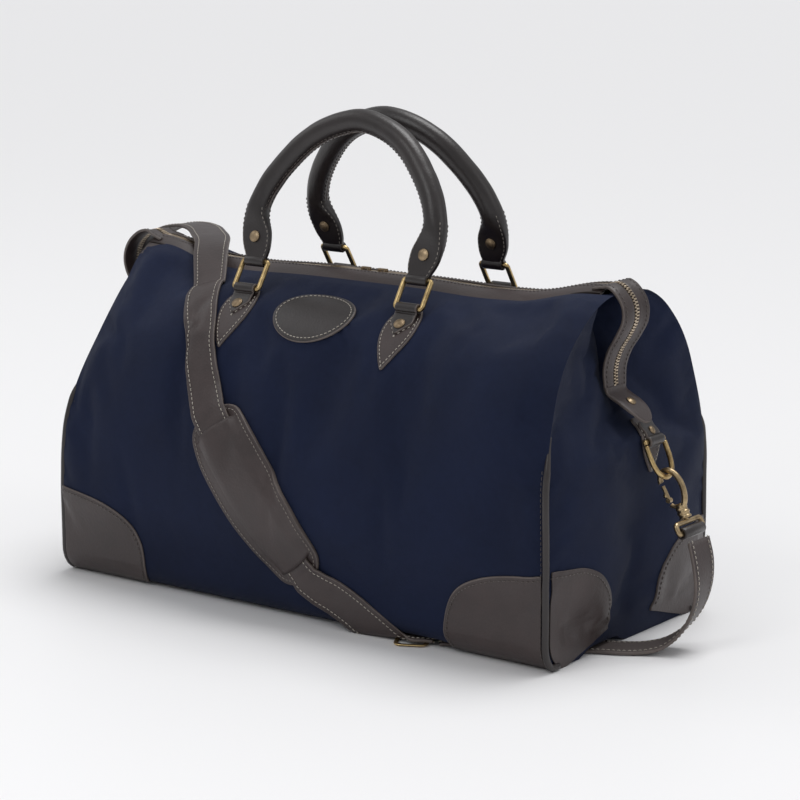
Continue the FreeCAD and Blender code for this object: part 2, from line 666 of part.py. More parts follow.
left_eye, right_eye = HOOKS["left"]["eye"], HOOKS["right"]["eye"]
strap_long = strap_long_main.fuse(eye_bar(left_eye)).cut(
    Part.makeCylinder(size("eye_wire") + size("running_fit"), 60, left_eye - V(0, 30, 0), V(0, 1, 0)))
buckle_place = FreeCAD.Placement(V(BUCKLE_AT[0], BUCKLE_AT[1], BUCKLE_LOW),
                                 FreeCAD.Rotation(V(0, 0, 1), math.degrees(math.atan2(ALONG.y, ALONG.x))))


def plate_room(along, across, high):
    room = Part.makeBox(along, across, 1 + high, V(-along / 2, -across / 2, -1))
    room.Placement = buckle_place
    return room


buckle_bar = size("buckle_bar")
frame_room = plate_room(size("buckle_along") + 0.6, size("buckle_across") + 0.6,
                        size("buckle_thick") + 0.3).cut(
    plate_room(size("buckle_along") - 2 * buckle_bar - 0.6,
               size("buckle_across") - 2 * buckle_bar - 0.6, 9))
feature("strap_long", strap_long.cut(frame_room))
short_main = loft(flat_sections([under(d) for d in (24, 60, 100, UNDER_SPAN)], WIDE,
                                STRAP_LOW, STRAP_LOW + STRAP, UNDER_DIR)
                  + free_sections(RIGHT_ROUTE, WIDE))
strap_short = short_main.fuse(eye_bar(right_eye)).cut(
    Part.makeCylinder(size("eye_wire") + size("running_fit"), 60, right_eye - V(0, 30, 0), V(0, 1, 0)))
feature("strap_short", strap_short)

PAD_SHAPE = [(0, 40, GAP, 3.0), (6, 50, GAP, 3.0), (12, 56, GAP, 3.2), (22, 61, GAP + 1.5, 5.0),
             (32, 64, GAP + STRAP + GAP, size("pad_thick") - 0.8),
             (58, 66, GAP + STRAP + GAP, size("pad_thick"))]
PAD_SHAPE += [(PAD_LENGTH - along, width, low, thick) for along, width, low, thick in PAD_SHAPE[::-1]]


def shoulder_pad():
    dx = (PAD_TO[0] - PAD_FROM[0]) / PAD_LENGTH
    dr = (PAD_TO[1] - PAD_FROM[1]) / PAD_LENGTH
    wires = []
    for along, width, low, thick in PAD_SHAPE:
        x, run = on_pad(along)
        if along in (0, PAD_LENGTH):
            wires.append(flat_end(x, run, low, low + thick, width, dx, dr))
            continue
        outer, inner = [], []
        for across in steps(-width / 2, width / 2, 6):
            px, pr = x + dr * across, run - dx * across
            outer.append(wrap(-1, px, pr, low + thick))
            inner.append(wrap(-1, px, pr, low))
        wires.append(strip_wire(outer, inner))
    room = loft(wrapped_sections(PAD_ROUTE, WIDE + 2.2, 0.5, 0.5, (0, len(PAD_ROUTE) - 1)), True)
    body = loft(wires, True)
    return body.cut(room)


feature("shoulder_pad", shoulder_pad())

frame_parts = []
for name, trim, shrink in (("buckle_outer", "", 0), ("buckle_inner", " - 2 * Sizes.buckle_bar", buckle_bar)):
    plate = doc.addObject("Part::Box", name)
    plate.setExpression("Length", "Sizes.buckle_along" + trim)
    plate.setExpression("Width", "Sizes.buckle_across" + trim)
    plate.setExpression("Height", "Sizes.buckle_thick")
    plate.Placement = buckle_place.multiply(FreeCAD.Placement(
        V(shrink - size("buckle_along") / 2, shrink - size("buckle_across") / 2, 0), FreeCAD.Rotation()))
    frame_parts.append(plate)
buckle = doc.addObject("Part::Cut", "buckle_frame")
buckle.Base, buckle.Tool = frame_parts
keep(buckle, "buckle_frame")

# ---------------------------------------------------------------- D-rings and snap hooks


def pipe(points, radius, smooth=True):
    path = Part.Wire(curve(points)) if smooth else Part.makePolygon(points)
    circle = Part.Wire(Part.makeCircle(radius, points[0], points[1] - points[0]))
    return path.makePipeShell([circle], True, True)


def dring(bar, reach):
    half, length = size("dring_half_width"), size("dring_reach")
    across = V(0, 1, 0)
    points = [bar + across * half, bar + across * half + reach * (length * 0.45),
              bar + across * (half * 0.72) + reach * (length * 0.84), bar + reach * length,
              bar - across * (half * 0.72) + reach * (length * 0.84),
              bar - across * half + reach * (length * 0.45), bar - across * half]
    wire = size("dring_wire")
    bow = pipe(points, wire)
    body = bow.fuse(Part.makeCylinder(wire, 2 * half, bar - across * half, across))
    for way in (-1, 1):
        body = body.fuse(Part.makeSphere(wire, bar + across * (half * way)))
    return body


def dring_tab(end, bar, reach):
    """Leather leaf on the end panel with a loop for the straight bar of the D-ring."""
    lean = math.atan2(FOLD_TIP[0] - HALF, FOLD_TIP[1] - 90)
    up = V(end * math.sin(lean), 0, math.cos(lean))
    out = V(end * math.cos(lean), 0, -math.sin(lean))
    surface = V(end * HALF, bar.y, 90) + up * ((bar.z - 90) / math.cos(lean))
    foot = surface + out * 1.0
    shape = [(10, 2), (10.5, -7), (14.5, -18), (11, -33), (0, -48), (-11, -33), (-14.5, -18),
             (-10.5, -7), (-10, 2)]
    points = [foot + V(0, a, 0) + up * b for a, b in shape]
    spline = Part.BSplineCurve()
    spline.interpolate(points)
    face = Part.Face(Part.Wire([spline.toShape(), Part.makeLine(points[-1], points[0])]))
    leaf = face.extrude(out * 2.4)
    fit = size("dring_wire") + size("running_fit")
    loop = eye(bar, 21, V(0, 1, 0), fit, fit + size("loop_wall"))
    neck = Part.makeBox(6.0, 21, 9.0)
    frame = FreeCAD.Rotation(out, V(0, end, 0), up, "XYZ")
    neck.Placement = FreeCAD.Placement(foot, frame).multiply(
        FreeCAD.Placement(V(0, -10.5, -8), FreeCAD.Rotation()))
    room = Part.makeCylinder(fit, 60, bar - V(0, 30, 0), V(0, 1, 0))
    stud = Part.makeCone(4.0, 3.0, size("rivet_head"), foot - up * 18 + out * 2.6, out)
    behind = Part.makeBox(20, 60, 60)
    behind.Placement = FreeCAD.Placement(surface - out * 19.7, frame).multiply(
        FreeCAD.Placement(V(0, -30, -30), FreeCAD.Rotation()))
    return leaf.fuse(neck).fuse(loop).cut(room).cut(behind).removeSplitter(), stud


tab_studs = []
for name, end in (("left", -1), ("right", 1)):
    kit = HOOKS[name]
    tab, stud = dring_tab(end, kit["bar"], kit["reach"])
    feature("dring_tab_" + name, tab)
    tab_studs.append(stud)
    feature("dring_" + name, dring(kit["bar"], kit["reach"]))

    def at(away, up, kit=kit):
        return kit["root"] + kit["away"] * away + kit["up"] * up

    # hook: collar, spine and bow; the gate closes it on the side facing the bag
    wire = size("hook_wire")
    spine = pipe([at(0, -1), at(5.5, 4), at(9, 12), at(9, 24), at(4.5, 31.5), at(0, 33.4),
                  at(-4.5, 32.2), at(-7.6, 28), at(-8.2, 25.5)], wire)
    collar = Part.makeCylinder(size("collar_radius"), size("collar_length"),
                               at(0, -size("collar_length")), kit["up"])
    barrel = Part.makeCone(size("collar_radius"), 2.6, 4.0, at(0, 0), kit["up"])
    heel = pipe([at(0, 1.5), at(-5.0, 3.2), at(-7.6, 5.6)], 1.9)
    pin_room = Part.makeCylinder(2.0, 7.0, at(0, -size("collar_length")), kit["up"])
    feature("hook_" + name, collar.fuse(barrel).fuse(spine).fuse(heel).cut(pin_room))
    gate = Part.makeCylinder(size("gate_wire"), 13.2, at(-7.7, 9.4), kit["up"])
    barrel = Part.makeCylinder(2.1, 4.4, at(-7.7, 9.8) - V(0, 2.2, 0), V(0, 1, 0))
    knob = Part.makeSphere(2.4, at(-8.6, 14.5))
    feature("gate_" + name, gate.fuse(knob).fuse(barrel))
    # swivel: pin held in the collar, rectangular eye below it for the strap
    eye_centre = kit["eye"]
    half, er = size("eye_half_width"), size("eye_wire")
    top_up = size("eye_drop") - size("collar_length") - 0.6 - er
    frame = FreeCAD.Rotation(V(0, 1, 0), kit["up"], V(0, 1, 0).cross(kit["up"]), "XYZ")
    loop = rounded_loop(half, (0, top_up), er, size("eye_corner"),
                        FreeCAD.Placement(eye_centre, frame))
    pin = Part.makeCylinder(2.0 - size("running_fit"), 6.0 + er + 1.2,
                            eye_centre + kit["up"] * top_up, kit["up"])
    feature("swivel_" + name, loop.fuse(pin))
feature("dring_tab_studs", Part.makeCompound(tab_studs))

# ---------------------------------------------------------------- zip sliders


def slider(end):
    x = end * size("slider_x")
    half_l, half_w = size("slider_length") / 2, size("slider_half_width")
    base = MOUTH_Z + size("chain_thick")
    plate = Part.makeBox(2 * half_l, 2 * half_w, 1.5, V(x - half_l, -half_w, base + 0.4))
    for y in (-half_w, half_w - 0.9):
        plate = plate.fuse(Part.makeBox(2 * half_l, 0.9, 2.0, V(x - half_l, y, base - 1.5)))
    post_a = Part.makeBox(1.6, 3.0, 3.6, V(x - 4.6, -1.5, base + 1.6))
    post_b = Part.makeBox(1.6, 3.0, 3.6, V(x + 3.0, -1.5, base + 1.6))
    bridge = Part.makeBox(9.2, 3.0, 1.4, V(x - 4.6, -1.5, base + 5.0))
    return plate.fuse(post_a).fuse(post_b).fuse(bridge).removeSplitter()


def pull(end):
    """Pull tag lying flat along the chain, its eye round a bar across the slider's bridge."""
    length, width, thick = size("pull_length"), size("pull_width"), size("pull_thick")
    base = MOUTH_Z + size("chain_thick")
    pivot_x = end * size("slider_x")
    low = base + 2.2
    z = low + 0.3
    reach = 5.6
    blade = Part.makeBox(length, width, thick, V(0, -width / 2, 0))
    blade.translate(V(pivot_x + end * reach if end > 0 else pivot_x - reach - length, 0, z))
    room = Part.makeCylinder(2.0, 10, V(pivot_x + end * (reach + length - 5), 0, z - 4), V(0, 0, 1))
    blade = blade.cut(room)
    arms = []
    for y in (-width / 2, width / 2 - 1.8):
        arms.append(Part.makeBox(reach + 3.0, 1.8, thick,
                                 V(min(pivot_x - end * 1.0, pivot_x + end * (reach + 2.0)), y, z)))
    bar = Part.makeCylinder(0.9, width, V(pivot_x, -width / 2, z + thick / 2), V(0, 1, 0))
    return blade.fuse(arms[0]).fuse(arms[1]).fuse(bar).removeSplitter()


for name, end in (("left", -1), ("right", 1)):
    feature("zip_slider_" + name, slider(end))
    feature("zip_pull_" + name, pull(end))

# ---------------------------------------------------------------- check and write

doc.recompute()
problems = []
for item in doc.Objects:
    if "Invalid" in item.State or "Error" in item.State:
        problems.append("%s: state %s" % (item.Label, item.State))
for item in nodes:
    if item.Shape.isNull() or not item.Shape.isValid():
        problems.append("%s: bad shape" % item.Label)
    elif item.Shape.Volume < 1:
        problems.append("%s: no volume" % item.Label)
for problem in problems:
    print("PROBLEM", problem)
if problems:
    raise RuntimeError("%d problems" % len(problems))
os.makedirs("parts", exist_ok=True)
for item in nodes:
    item.Shape.exportStep("parts/%s.step" % item.Label)
print("wrote", len(nodes), "nodes")
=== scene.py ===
import math

import bpy
import numpy as np
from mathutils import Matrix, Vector, noise


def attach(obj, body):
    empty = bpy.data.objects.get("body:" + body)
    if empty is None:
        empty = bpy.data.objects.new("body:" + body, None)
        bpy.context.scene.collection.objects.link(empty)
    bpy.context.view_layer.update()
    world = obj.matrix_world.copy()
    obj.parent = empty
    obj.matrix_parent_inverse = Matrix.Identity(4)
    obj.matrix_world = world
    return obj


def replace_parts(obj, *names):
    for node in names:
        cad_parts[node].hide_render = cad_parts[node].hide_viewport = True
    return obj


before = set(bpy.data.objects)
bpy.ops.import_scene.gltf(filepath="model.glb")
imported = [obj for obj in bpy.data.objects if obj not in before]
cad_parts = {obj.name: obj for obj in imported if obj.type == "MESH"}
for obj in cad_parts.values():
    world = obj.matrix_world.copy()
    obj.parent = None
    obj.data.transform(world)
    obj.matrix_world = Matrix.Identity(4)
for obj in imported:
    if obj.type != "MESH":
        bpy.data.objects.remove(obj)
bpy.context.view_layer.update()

# ---------------------------------------------------------------- camera and light


def aim(azimuth, elevation):
    """Unit vector from the object towards a viewer at that azimuth and elevation, in degrees."""
    a, e = math.radians(azimuth), math.radians(elevation)
    return Vector((math.sin(a) * math.cos(e), -math.cos(a) * math.cos(e), math.sin(e)))


camera_data = bpy.data.cameras.new("camera")
camera_data.lens, camera_data.sensor_width = 118.35, 36
camera = bpy.data.objects.new("camera", camera_data)
bpy.context.collection.objects.link(camera)
camera.location = aim(37.3, 12.15) * 2.31 + Vector((0, 0, 0.15))
camera.rotation_euler = (-aim(36.74, 11.66)).to_track_quat("-Z", "Y").to_euler()
bpy.context.scene.camera = camera


def area_light(name, azimuth, elevation, distance, side, power):
    data = bpy.data.lights.new(name, "AREA")
    data.energy, data.size = power, side
    item = bpy.data.objects.new(name, data)
    bpy.context.collection.objects.link(item)
    direction = aim(azimuth, elevation)
    item.location = direction * distance + Vector((0, 0, 0.15))
    item.rotation_euler = direction.to_track_quat("Z", "Y").to_euler()


sun = bpy.data.lights.new("sun", "SUN")
sun.energy, sun.angle = 1.75, math.radians(34)
sun_item = bpy.data.objects.new("sun", sun)
bpy.context.collection.objects.link(sun_item)
sun_item.rotation_euler = aim(172, 72).to_track_quat("Z", "Y").to_euler()
area_light("key", -8, 44, 2.6, 1.0, 9)
area_light("side", 100, 30, 2.6, 1.2, 4)
area_light("left", -80, 40, 2.6, 1.2, 4)
bpy.context.scene.view_settings.view_transform = "Standard"

world = bpy.data.worlds.new("studio")
world.use_nodes = True
world.node_tree.nodes["Background"].inputs[0].default_value = (0.93, 0.94, 0.96, 1)
world.node_tree.nodes["Background"].inputs[1].default_value = 0.52
bpy.context.scene.world = world

# ---------------------------------------------------------------- materials


class Shader:
    """Short way to write a node material."""

    def __init__(self, name, **sockets):
        self.mat = bpy.data.materials.new(name)
        self.mat.use_nodes = True
        self.tree = self.mat.node_tree
        self.bsdf = self.tree.nodes["Principled BSDF"]
        for key, value in sockets.items():
            self.bsdf.inputs[key.replace("_", " ")].default_value = value
        self.place = self.add("ShaderNodeTexCoord").outputs["Object"]

    def add(self, kind, links=None, **settings):
        node = self.tree.nodes.new(kind)
        for key, value in settings.items():
            setattr(node, key, value)
        for key, value in (links or {}).items():
            if hasattr(value, "is_output"):
                self.tree.links.new(value, node.inputs[key])
            else:
                node.inputs[key].default_value = value
        return node

    def noise(self, scale, detail=3.0, rough=0.55, vector=None):
        return self.add("ShaderNodeTexNoise", {"Vector": vector or self.place, "Scale": scale,
                                               "Detail": detail, "Roughness": rough}).outputs["Fac"]

    def math(self, operation, a, b=0.0):
        return self.add("ShaderNodeMath", {0: a, 1: b}, operation=operation).outputs[0]

    def ramp(self, factor, stops):
        node = self.add("ShaderNodeValToRGB", {"Fac": factor})
        ramp = node.color_ramp
        while len(ramp.elements) < len(stops):
            ramp.elements.new(0.5)
        for element, (spot, color) in zip(ramp.elements, stops):
            element.position = spot
            element.color = tuple(color) + (1,) if len(color) == 3 else color
        return node.outputs["Color"]

    def color(self, socket):
        self.tree.links.new(socket, self.bsdf.inputs["Base Color"])

    def rough(self, factor, low, high):
        node = self.add("ShaderNodeMapRange", {"Value": factor, "To Min": low, "To Max": high})
        self.tree.links.new(node.outputs[0], self.bsdf.inputs["Roughness"])

    def bump(self, heights):
        """Chain of (height socket, strength, distance in metres)."""
        normal = None
        for height, strength, distance in heights:
            links = {"Height": height, "Strength": strength, "Distance": distance}
            if normal is not None:
                links["Normal"] = normal
            normal = self.add("ShaderNodeBump", links).outputs["Normal"]
        self.tree.links.new(normal, self.bsdf.inputs["Normal"])


def waves(shader, axis, period, vector):
    """Sine ridges across one axis of the vector, one each period metres."""
    split = shader.add("ShaderNodeSeparateXYZ", {"Vector": vector})
    turns = shader.math("MULTIPLY", split.outputs[axis], 2 * math.pi / period)
    return shader.math("SINE", turns)


def canvas_material(name, deep, pale, laid="UV"):
    """Waxed canvas: a plain weave along the cloth's own flat lay, slubs, cloudy wear, a soft sheen."""
    s = Shader(name, Roughness=0.78, Specular_IOR_Level=0.14, Sheen_Weight=0.03, Sheen_Roughness=0.45)
    flat = s.add("ShaderNodeTexCoord").outputs[laid]
    wobble = s.add("ShaderNodeVectorMath", {0: flat, 1: s.add(
        "ShaderNodeVectorMath", {0: s.add("ShaderNodeTexNoise", {
            "Vector": s.place, "Scale": 60.0}).outputs["Color"], 1: (0.0004,) * 3},
        operation="MULTIPLY").outputs[0]}, operation="ADD").outputs[0]
    warp = waves(s, 0, 0.00095, wobble)
    weft = waves(s, 1, 0.00095, wobble)
    weave = s.math("MULTIPLY", warp, weft)
    clouds = s.noise(9.0, 5.0, 0.6)
    slubs = s.noise(170.0, 4.0, 0.7)
    mix = s.math("ADD", s.math("MULTIPLY", clouds, 0.75), s.math("MULTIPLY", slubs, 0.25))
    tone = s.ramp(mix, [(0.32, deep), (0.70, pale)])
    thread = s.add("ShaderNodeMix", {"Factor": s.math("MULTIPLY", s.math("ADD", weave, 1.0), 0.22),
                                     6: tone, 7: tuple(c * 1.75 for c in pale) + (1,)}, data_type="RGBA")
    s.color(thread.outputs[2])
    s.rough(clouds, 0.66, 0.86)
    s.bump([(clouds, 0.35, 0.004), (slubs, 0.25, 0.0006), (weave, 0.35, 0.00022)])
    return s.mat


def leather_material(name, deep, pale, rough=(0.38, 0.58), grain=420.0, bump=0.4):
    """Vegetable-tanned leather: fine pebbled grain, broad tone changes, creases and a waxy coat."""
    s = Shader(name, Coat_Weight=0.16, Coat_Roughness=0.34)
    clouds = s.noise(14.0, 5.0, 0.6)
    blotch = s.noise(90.0, 3.0, 0.6)
    cells = s.add("ShaderNodeTexVoronoi", {"Vector": s.place, "Scale": grain},
                  feature="F1").outputs["Distance"]
    fine = s.noise(1500.0, 2.0, 0.6)
    mix = s.math("ADD", s.math("MULTIPLY", clouds, 0.7), s.math("MULTIPLY", blotch, 0.3))
    s.color(s.ramp(mix, [(0.30, deep), (0.72, pale)]))
    s.rough(blotch, rough[0], rough[1])
    s.bump([(clouds, 0.25, 0.003), (cells, bump, 0.00035), (fine, bump * 0.5, 0.00012)])
    return s.mat


def brass_material(name, bright, dark, rough=(0.22, 0.45)):
    """Antique brass: darker patina in broad patches, fine scratches and rubbed bright spots."""
    s = Shader(name, Metallic=1.0)
    patina = s.noise(70.0, 5.0, 0.65)
    scratch = s.noise(900.0, 2.0, 0.5)
    s.color(s.ramp(patina, [(0.30, dark), (0.62, bright)]))
    s.rough(patina, rough[1], rough[0])
    s.bump([(patina, 0.12, 0.0005), (scratch, 0.12, 0.00005)])
    return s.mat


def thread_material(name, color):
    s = Shader(name, Roughness=0.7, Sheen_Weight=0.3)
    twist = s.noise(2600.0, 2.0, 0.5)
    dark = tuple(c * 0.62 for c in color)
    s.color(s.ramp(twist, [(0.35, dark), (0.65, color)]))
    s.bump([(twist, 0.5, 0.0001)])
    return s.mat


NAVY_DEEP, NAVY_PALE = (0.0030, 0.0050, 0.0150), (0.0085, 0.0135, 0.0370)
canvas = canvas_material("canvas", NAVY_DEEP, NAVY_PALE)
leather = leather_material("leather", (0.020, 0.0120, 0.0115), (0.046, 0.0300, 0.0285))
leather_dark = leather_material("leather_dark", (0.0085, 0.0058, 0.0056), (0.020, 0.0138, 0.0132),
                                (0.30, 0.48), 520.0, 0.3)
# pale leather for cut edges: raw edge colour, made paler still as a painted highlight along the rounded rims
leather_edge_and_highlight = leather_material("leather_edge_and_highlight", (0.060, 0.046, 0.041), (0.15, 0.122, 0.110),
                                (0.5, 0.7), 900.0, 0.3)
brass = brass_material("brass", (0.62, 0.46, 0.22), (0.20, 0.13, 0.06))
brass_dull = brass_material("brass_dull", (0.36, 0.27, 0.17), (0.12, 0.085, 0.055), (0.32, 0.5))
teeth_metal = brass_material("teeth_metal", (0.60, 0.50, 0.38), (0.30, 0.23, 0.16), (0.25, 0.4))
thread_light = thread_material("thread_light", (0.46, 0.42, 0.36))
thread_dark = thread_material("thread_dark", (0.085, 0.068, 0.058))
thread_mid = thread_material("thread_mid", (0.26, 0.23, 0.20))
brass_worn = brass_material("brass_worn", (0.50, 0.38, 0.22), (0.17, 0.12, 0.07), (0.26, 0.46))
board = leather_material("board", (0.05, 0.05, 0.055), (0.075, 0.075, 0.08), (0.7, 0.8), 300.0, 0.1)
tape_cloth = canvas_material("tape_cloth", (0.010, 0.008, 0.008), (0.028, 0.022, 0.020), "Object")

# ---------------------------------------------------------------- mesh helpers


def make_mesh(name, verts, faces, materials, indices=None, smooth=True):
    mesh = bpy.data.meshes.new(name)
    mesh.from_pydata([tuple(v) for v in verts], [], faces)
    for material in materials:
        mesh.materials.append(material)
    if indices is not None:
        mesh.polygons.foreach_set("material_index", indices)
    mesh.polygons.foreach_set("use_smooth", [smooth] * len(mesh.polygons))
    mesh.validate()
    mesh.update()
    item = bpy.data.objects.new(name, mesh)
    bpy.context.collection.objects.link(item)
    return item


def grid_faces(rows, columns, start=0, wrap=False, flip=False):
    faces = []
    for i in range(rows - 1):
        for j in range(columns if wrap else columns - 1):
            k = (j + 1) % columns
            quad = (start + i * columns + j, start + i * columns + k,
                    start + (i + 1) * columns + k, start + (i + 1) * columns + j)
            faces.append(quad[::-1] if flip else quad)
    return faces


def smooth_rows(rows, count):
    """Catmull-Rom through control rows (each an array), count points to a span."""
    rows = [np.asarray(r, float) for r in rows]
    rows = [2 * rows[0] - rows[1]] + rows + [2 * rows[-1] - rows[-2]]
    out = []
    for k in range(1, len(rows) - 2):
        a, b, c, d = rows[k - 1:k + 3]
        for step in range(count):
            t = step / count
            out.append(0.5 * (2 * b + (c - a) * t + (2 * a - 5 * b + 4 * c - d) * t * t
                              + (3 * b - a - 3 * c + d) * t ** 3))
    out.append(rows[-2])
    return np.array(out)


def unit(v):
    v = np.asarray(v, float)
    return v / np.maximum(np.linalg.norm(v, axis=-1, keepdims=True), 1e-12)


def resample(points, spacing, closed=False):
    """Points at even steps along a path, with the parameter of each."""
    points = np.asarray(points, float)
    if closed:
        points = np.vstack([points, points[:1]])
    lengths = np.concatenate([[0], np.cumsum(np.linalg.norm(np.diff(points, axis=0), axis=1))])
    count = max(2, int(lengths[-1] / spacing))
    marks = np.linspace(0, lengths[-1], count, endpoint=not closed)
    index = np.interp(marks, lengths, np.arange(len(lengths)))
    return index, count


def at_index(values, index, closed=False):
    values = np.asarray(values, float)
    if closed:
        values = np.vstack([values, values[:1]])
    base = np.clip(index.astype(int), 0, len(values) - 2)
    part = (index - base)[:, None]
    return values[base] * (1 - part) + values[base + 1] * part


def stitches(name, points, normals, body, pitch=0.0036, length=0.0027, radius=0.00038,
             closed=False, material=None, lift=0.00012, slant=0.0):
    """A row of separate thread stitches, each a small bent capsule that dips at both ends."""
    index, count = resample(points, pitch, closed)
    spots = at_index(points, index, closed)
    outs = unit(at_index(normals, index, closed))
    ahead = np.roll(spots, -1, 0) - np.roll(spots, 1, 0)
    if not closed:
        ahead[0], ahead[-1] = spots[1] - spots[0], spots[-1] - spots[-2]
    ahead = unit(ahead - outs * (ahead * outs).sum(1, keepdims=True))
    aside = np.cross(outs, ahead)
    ahead = unit(ahead + aside * slant)
    aside = np.cross(outs, ahead)
    profile = [(-0.5, 0.35, -1.6), (-0.36, 0.9, 0.1), (0.0, 1.0, 0.5), (0.36, 0.9, 0.1), (0.5, 0.35, -1.6)]
    sides = 6
    verts, faces = [], []
    for p, o, a, s in zip(spots, outs, ahead, aside):
        start = len(verts)
        for along, wide, high in profile:
            centre = p + a * (along * length) + o * (lift + radius * high)
            for k in range(sides):
                turn = 2 * math.pi * k / sides
                verts.append(centre + (s * math.cos(turn) + o * math.sin(turn)) * radius * wide)
        faces += grid_faces(len(profile), sides, start, True)
        faces.append(tuple(start + k for k in range(sides))[::-1])
        last = start + (len(profile) - 1) * sides
        faces.append(tuple(last + k for k in range(sides)))
    item = make_mesh(name, verts, faces, [material or thread_light])
    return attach(item, body)


def tube(name, points, radius, body, material, sides=14, closed=False):
    """Round cord of leather or metal through dense points."""
    points = np.asarray(points, float)
    ahead = np.gradient(points, axis=0)
    if closed:
        ahead = np.roll(points, -1, 0) - np.roll(points, 1, 0)
    ahead = unit(ahead)
    out = np.cross(ahead[0], (0.3, 0.5, 0.8))
    verts = []
    radii = np.full(len(points), radius) if np.isscalar(radius) else np.asarray(radius)
    for p, a, r in zip(points, ahead, radii):
        out = unit(out - a * np.dot(out, a))
        side = np.cross(a, out)
        for k in range(sides):
            turn = 2 * math.pi * k / sides
            verts.append(p + (out * math.cos(turn) + side * math.sin(turn)) * r)
    faces = grid_faces(len(points), sides, 0, True)
    last = (len(points) - 1) * sides
    if closed:
        faces += [(last + k, last + (k + 1) % sides, (k + 1) % sides, k) for k in range(sides)]
    else:
        faces.append(tuple(range(sides))[::-1])
        faces.append(tuple(last + k for k in range(sides)))
    item = make_mesh(name, verts, faces, [material])
    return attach(item, body)


def strap_mesh(name, rows, normals, thick, body, face_material, edge_material, back_material=None):
    """Flat strap from rows of points across its middle; the edges are rounded and get the edge material, which on
    leather is the pale raw edge colour with a painted highlight.
    """
    rows, normals = np.asarray(rows, float), unit(normals)
    count, across = rows.shape[:2]
    half = thick / 2
    edge = unit(rows[:, -1] - rows[:, 0])
    loops = []
    for k in range(count):
        loop = []
        for j in range(across):
            loop.append(rows[k, j] + normals[k, j] * half)
        for turn in (60, 25, -25, -60):
            c, s = math.cos(math.radians(turn)), math.sin(math.radians(turn))
            loop.append(rows[k, -1] + edge[k] * (0.0007 * c) + normals[k, -1] * (half * s))
        for j in range(across - 1, -1, -1):
            loop.append(rows[k, j] - normals[k, j] * half)
        for turn in (-60, -25, 25, 60):
            c, s = math.cos(math.radians(turn)), math.sin(math.radians(turn))
            loop.append(rows[k, 0] - edge[k] * (0.0007 * c) + normals[k, 0] * (half * s))
        loops.append(loop)
    size = len(loops[0])
    verts = [v for loop in loops for v in loop]
    faces = grid_faces(count, size, 0, True, flip=True)
    # index 1 marks the rounded edges, which carry the pale edge material with its painted highlight
    one_row = [0] * (across - 1) + [1] * 5 + [2] * (across - 1) + [1] * 5
    indices = one_row * (count - 1)
    for end, order in ((0, 1), (count - 1, -1)):
        start = end * size
        for j in range(across - 1):
            quad = (start + j, start + j + 1, start + 2 * across + 2 - j, start + 2 * across + 3 - j)
            faces.append(quad[::order])
            indices.append(1)
    item = make_mesh(name, verts, faces, [face_material, edge_material, back_material or face_material],
                     indices)
    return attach(item, body)


def plate(name, outline, mapper, thick, body, face_material, edge_material, centre=None,
          dome=0.0, low=0.0002, rings=14):
    """Leather shape cut to a smooth outline of flat coordinates and laid on a surface by mapper."""
    outline = np.asarray(outline, float)
    centre = outline.mean(0) if centre is None else np.asarray(centre, float)
    reach = np.linalg.norm(outline - centre, axis=1).mean()
    rim = 0.0009 / reach
    levels = [(1.0, 0.0), (1.0 + rim * 0.35, thick * 0.35), (1.0, thick * 0.78), (1.0 - rim * 0.7, thick)]
    levels += [(1.0 - rim * 2.2, thick)]
    levels += [(r, thick) for r in np.linspace(1.0 - rim * 6, 0.06, rings)]
    verts = []
    for factor, height in levels:
        spots = centre + (outline - centre) * factor
        for x, y in spots:
            bulge = dome * (1 - min(1.0, factor) ** 2)
            verts.append(mapper(x, y, low + height + bulge))
    around = len(outline)
    verts.append(mapper(centre[0], centre[1], low + thick + dome))
    faces = grid_faces(len(levels), around, 0, True)
    # the rim rings take the edge material: pale raw edge colour with a painted highlight
    indices = [1] * (around * 3) + [0] * (around * (len(levels) - 4))
    last = (len(levels) - 1) * around
    for k in range(around):
        faces.append((last + k, last + (k + 1) % around, len(verts) - 1))
        indices.append(0)
    item = make_mesh(name, verts, faces, [face_material, edge_material], indices)
    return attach(item, body)


def closed_curve(points, count=10):
    """Smooth closed outline through points."""
    points = [np.array(p, float) for p in points]
    n = len(points)
    out = []
    for k in range(n):
        a, b, c, d = points[k - 1], points[k], points[(k + 1) % n], points[(k + 2) % n]
        for step in range(count):
            t = step / count
            out.append(0.5 * (2 * b + (c - a) * t + (2 * a - 5 * b + 4 * c - d) * t * t
                              + (3 * b - a - 3 * c + d) * t ** 3))
    return np.array(out)


def inset_path(outline, distance):
    """The outline moved inwards by a distance, in flat coordinates."""
    outline = np.asarray(outline, float)
    ahead = np.roll(outline, -1, 0) - np.roll(outline, 1, 0)
    ahead = ahead / np.maximum(np.linalg.norm(ahead, axis=1, keepdims=True), 1e-9)
    inward = np.stack([-ahead[:, 1], ahead[:, 0]], 1)
    area = 0.5 * np.sum(outline[:, 0] * np.roll(outline[:, 1], -1) - np.roll(outline[:, 0], -1) * outline[:, 1])
    return outline + inward * (distance if area > 0 else -distance)


# ---------------------------------------------------------------- canvas body

HALF, SIDE, RADIUS, FILLET, SHOULDER = 0.262, 0.122, 0.112, 0.022, 0.168
ARC_Y = SIDE - RADIUS
ARC_END = math.acos((0.024 - ARC_Y) / RADIUS)
S_ARC = RADIUS * ARC_END
S_WALL = S_ARC + SHOULDER - FILLET
S_BASE = S_WALL + FILLET * math.pi / 2
MOUTH_Z = SHOULDER + RADIUS * math.sin(ARC_END)


def ease(value, low, high):
    t = min(1.0, max(0.0, (value - low) / (high - low)))
    return t * t * (3 - 2 * t)


def rise(x):
    """The mouth line: it lifts to both ends, and sags a little between the handle and the end."""
    lift = 0.012 * ease(abs(x), 0.165, 0.242)
    sag = 0.0022 * math.exp(-((abs(x) - 0.125) / 0.045) ** 2)
    return lift - sag


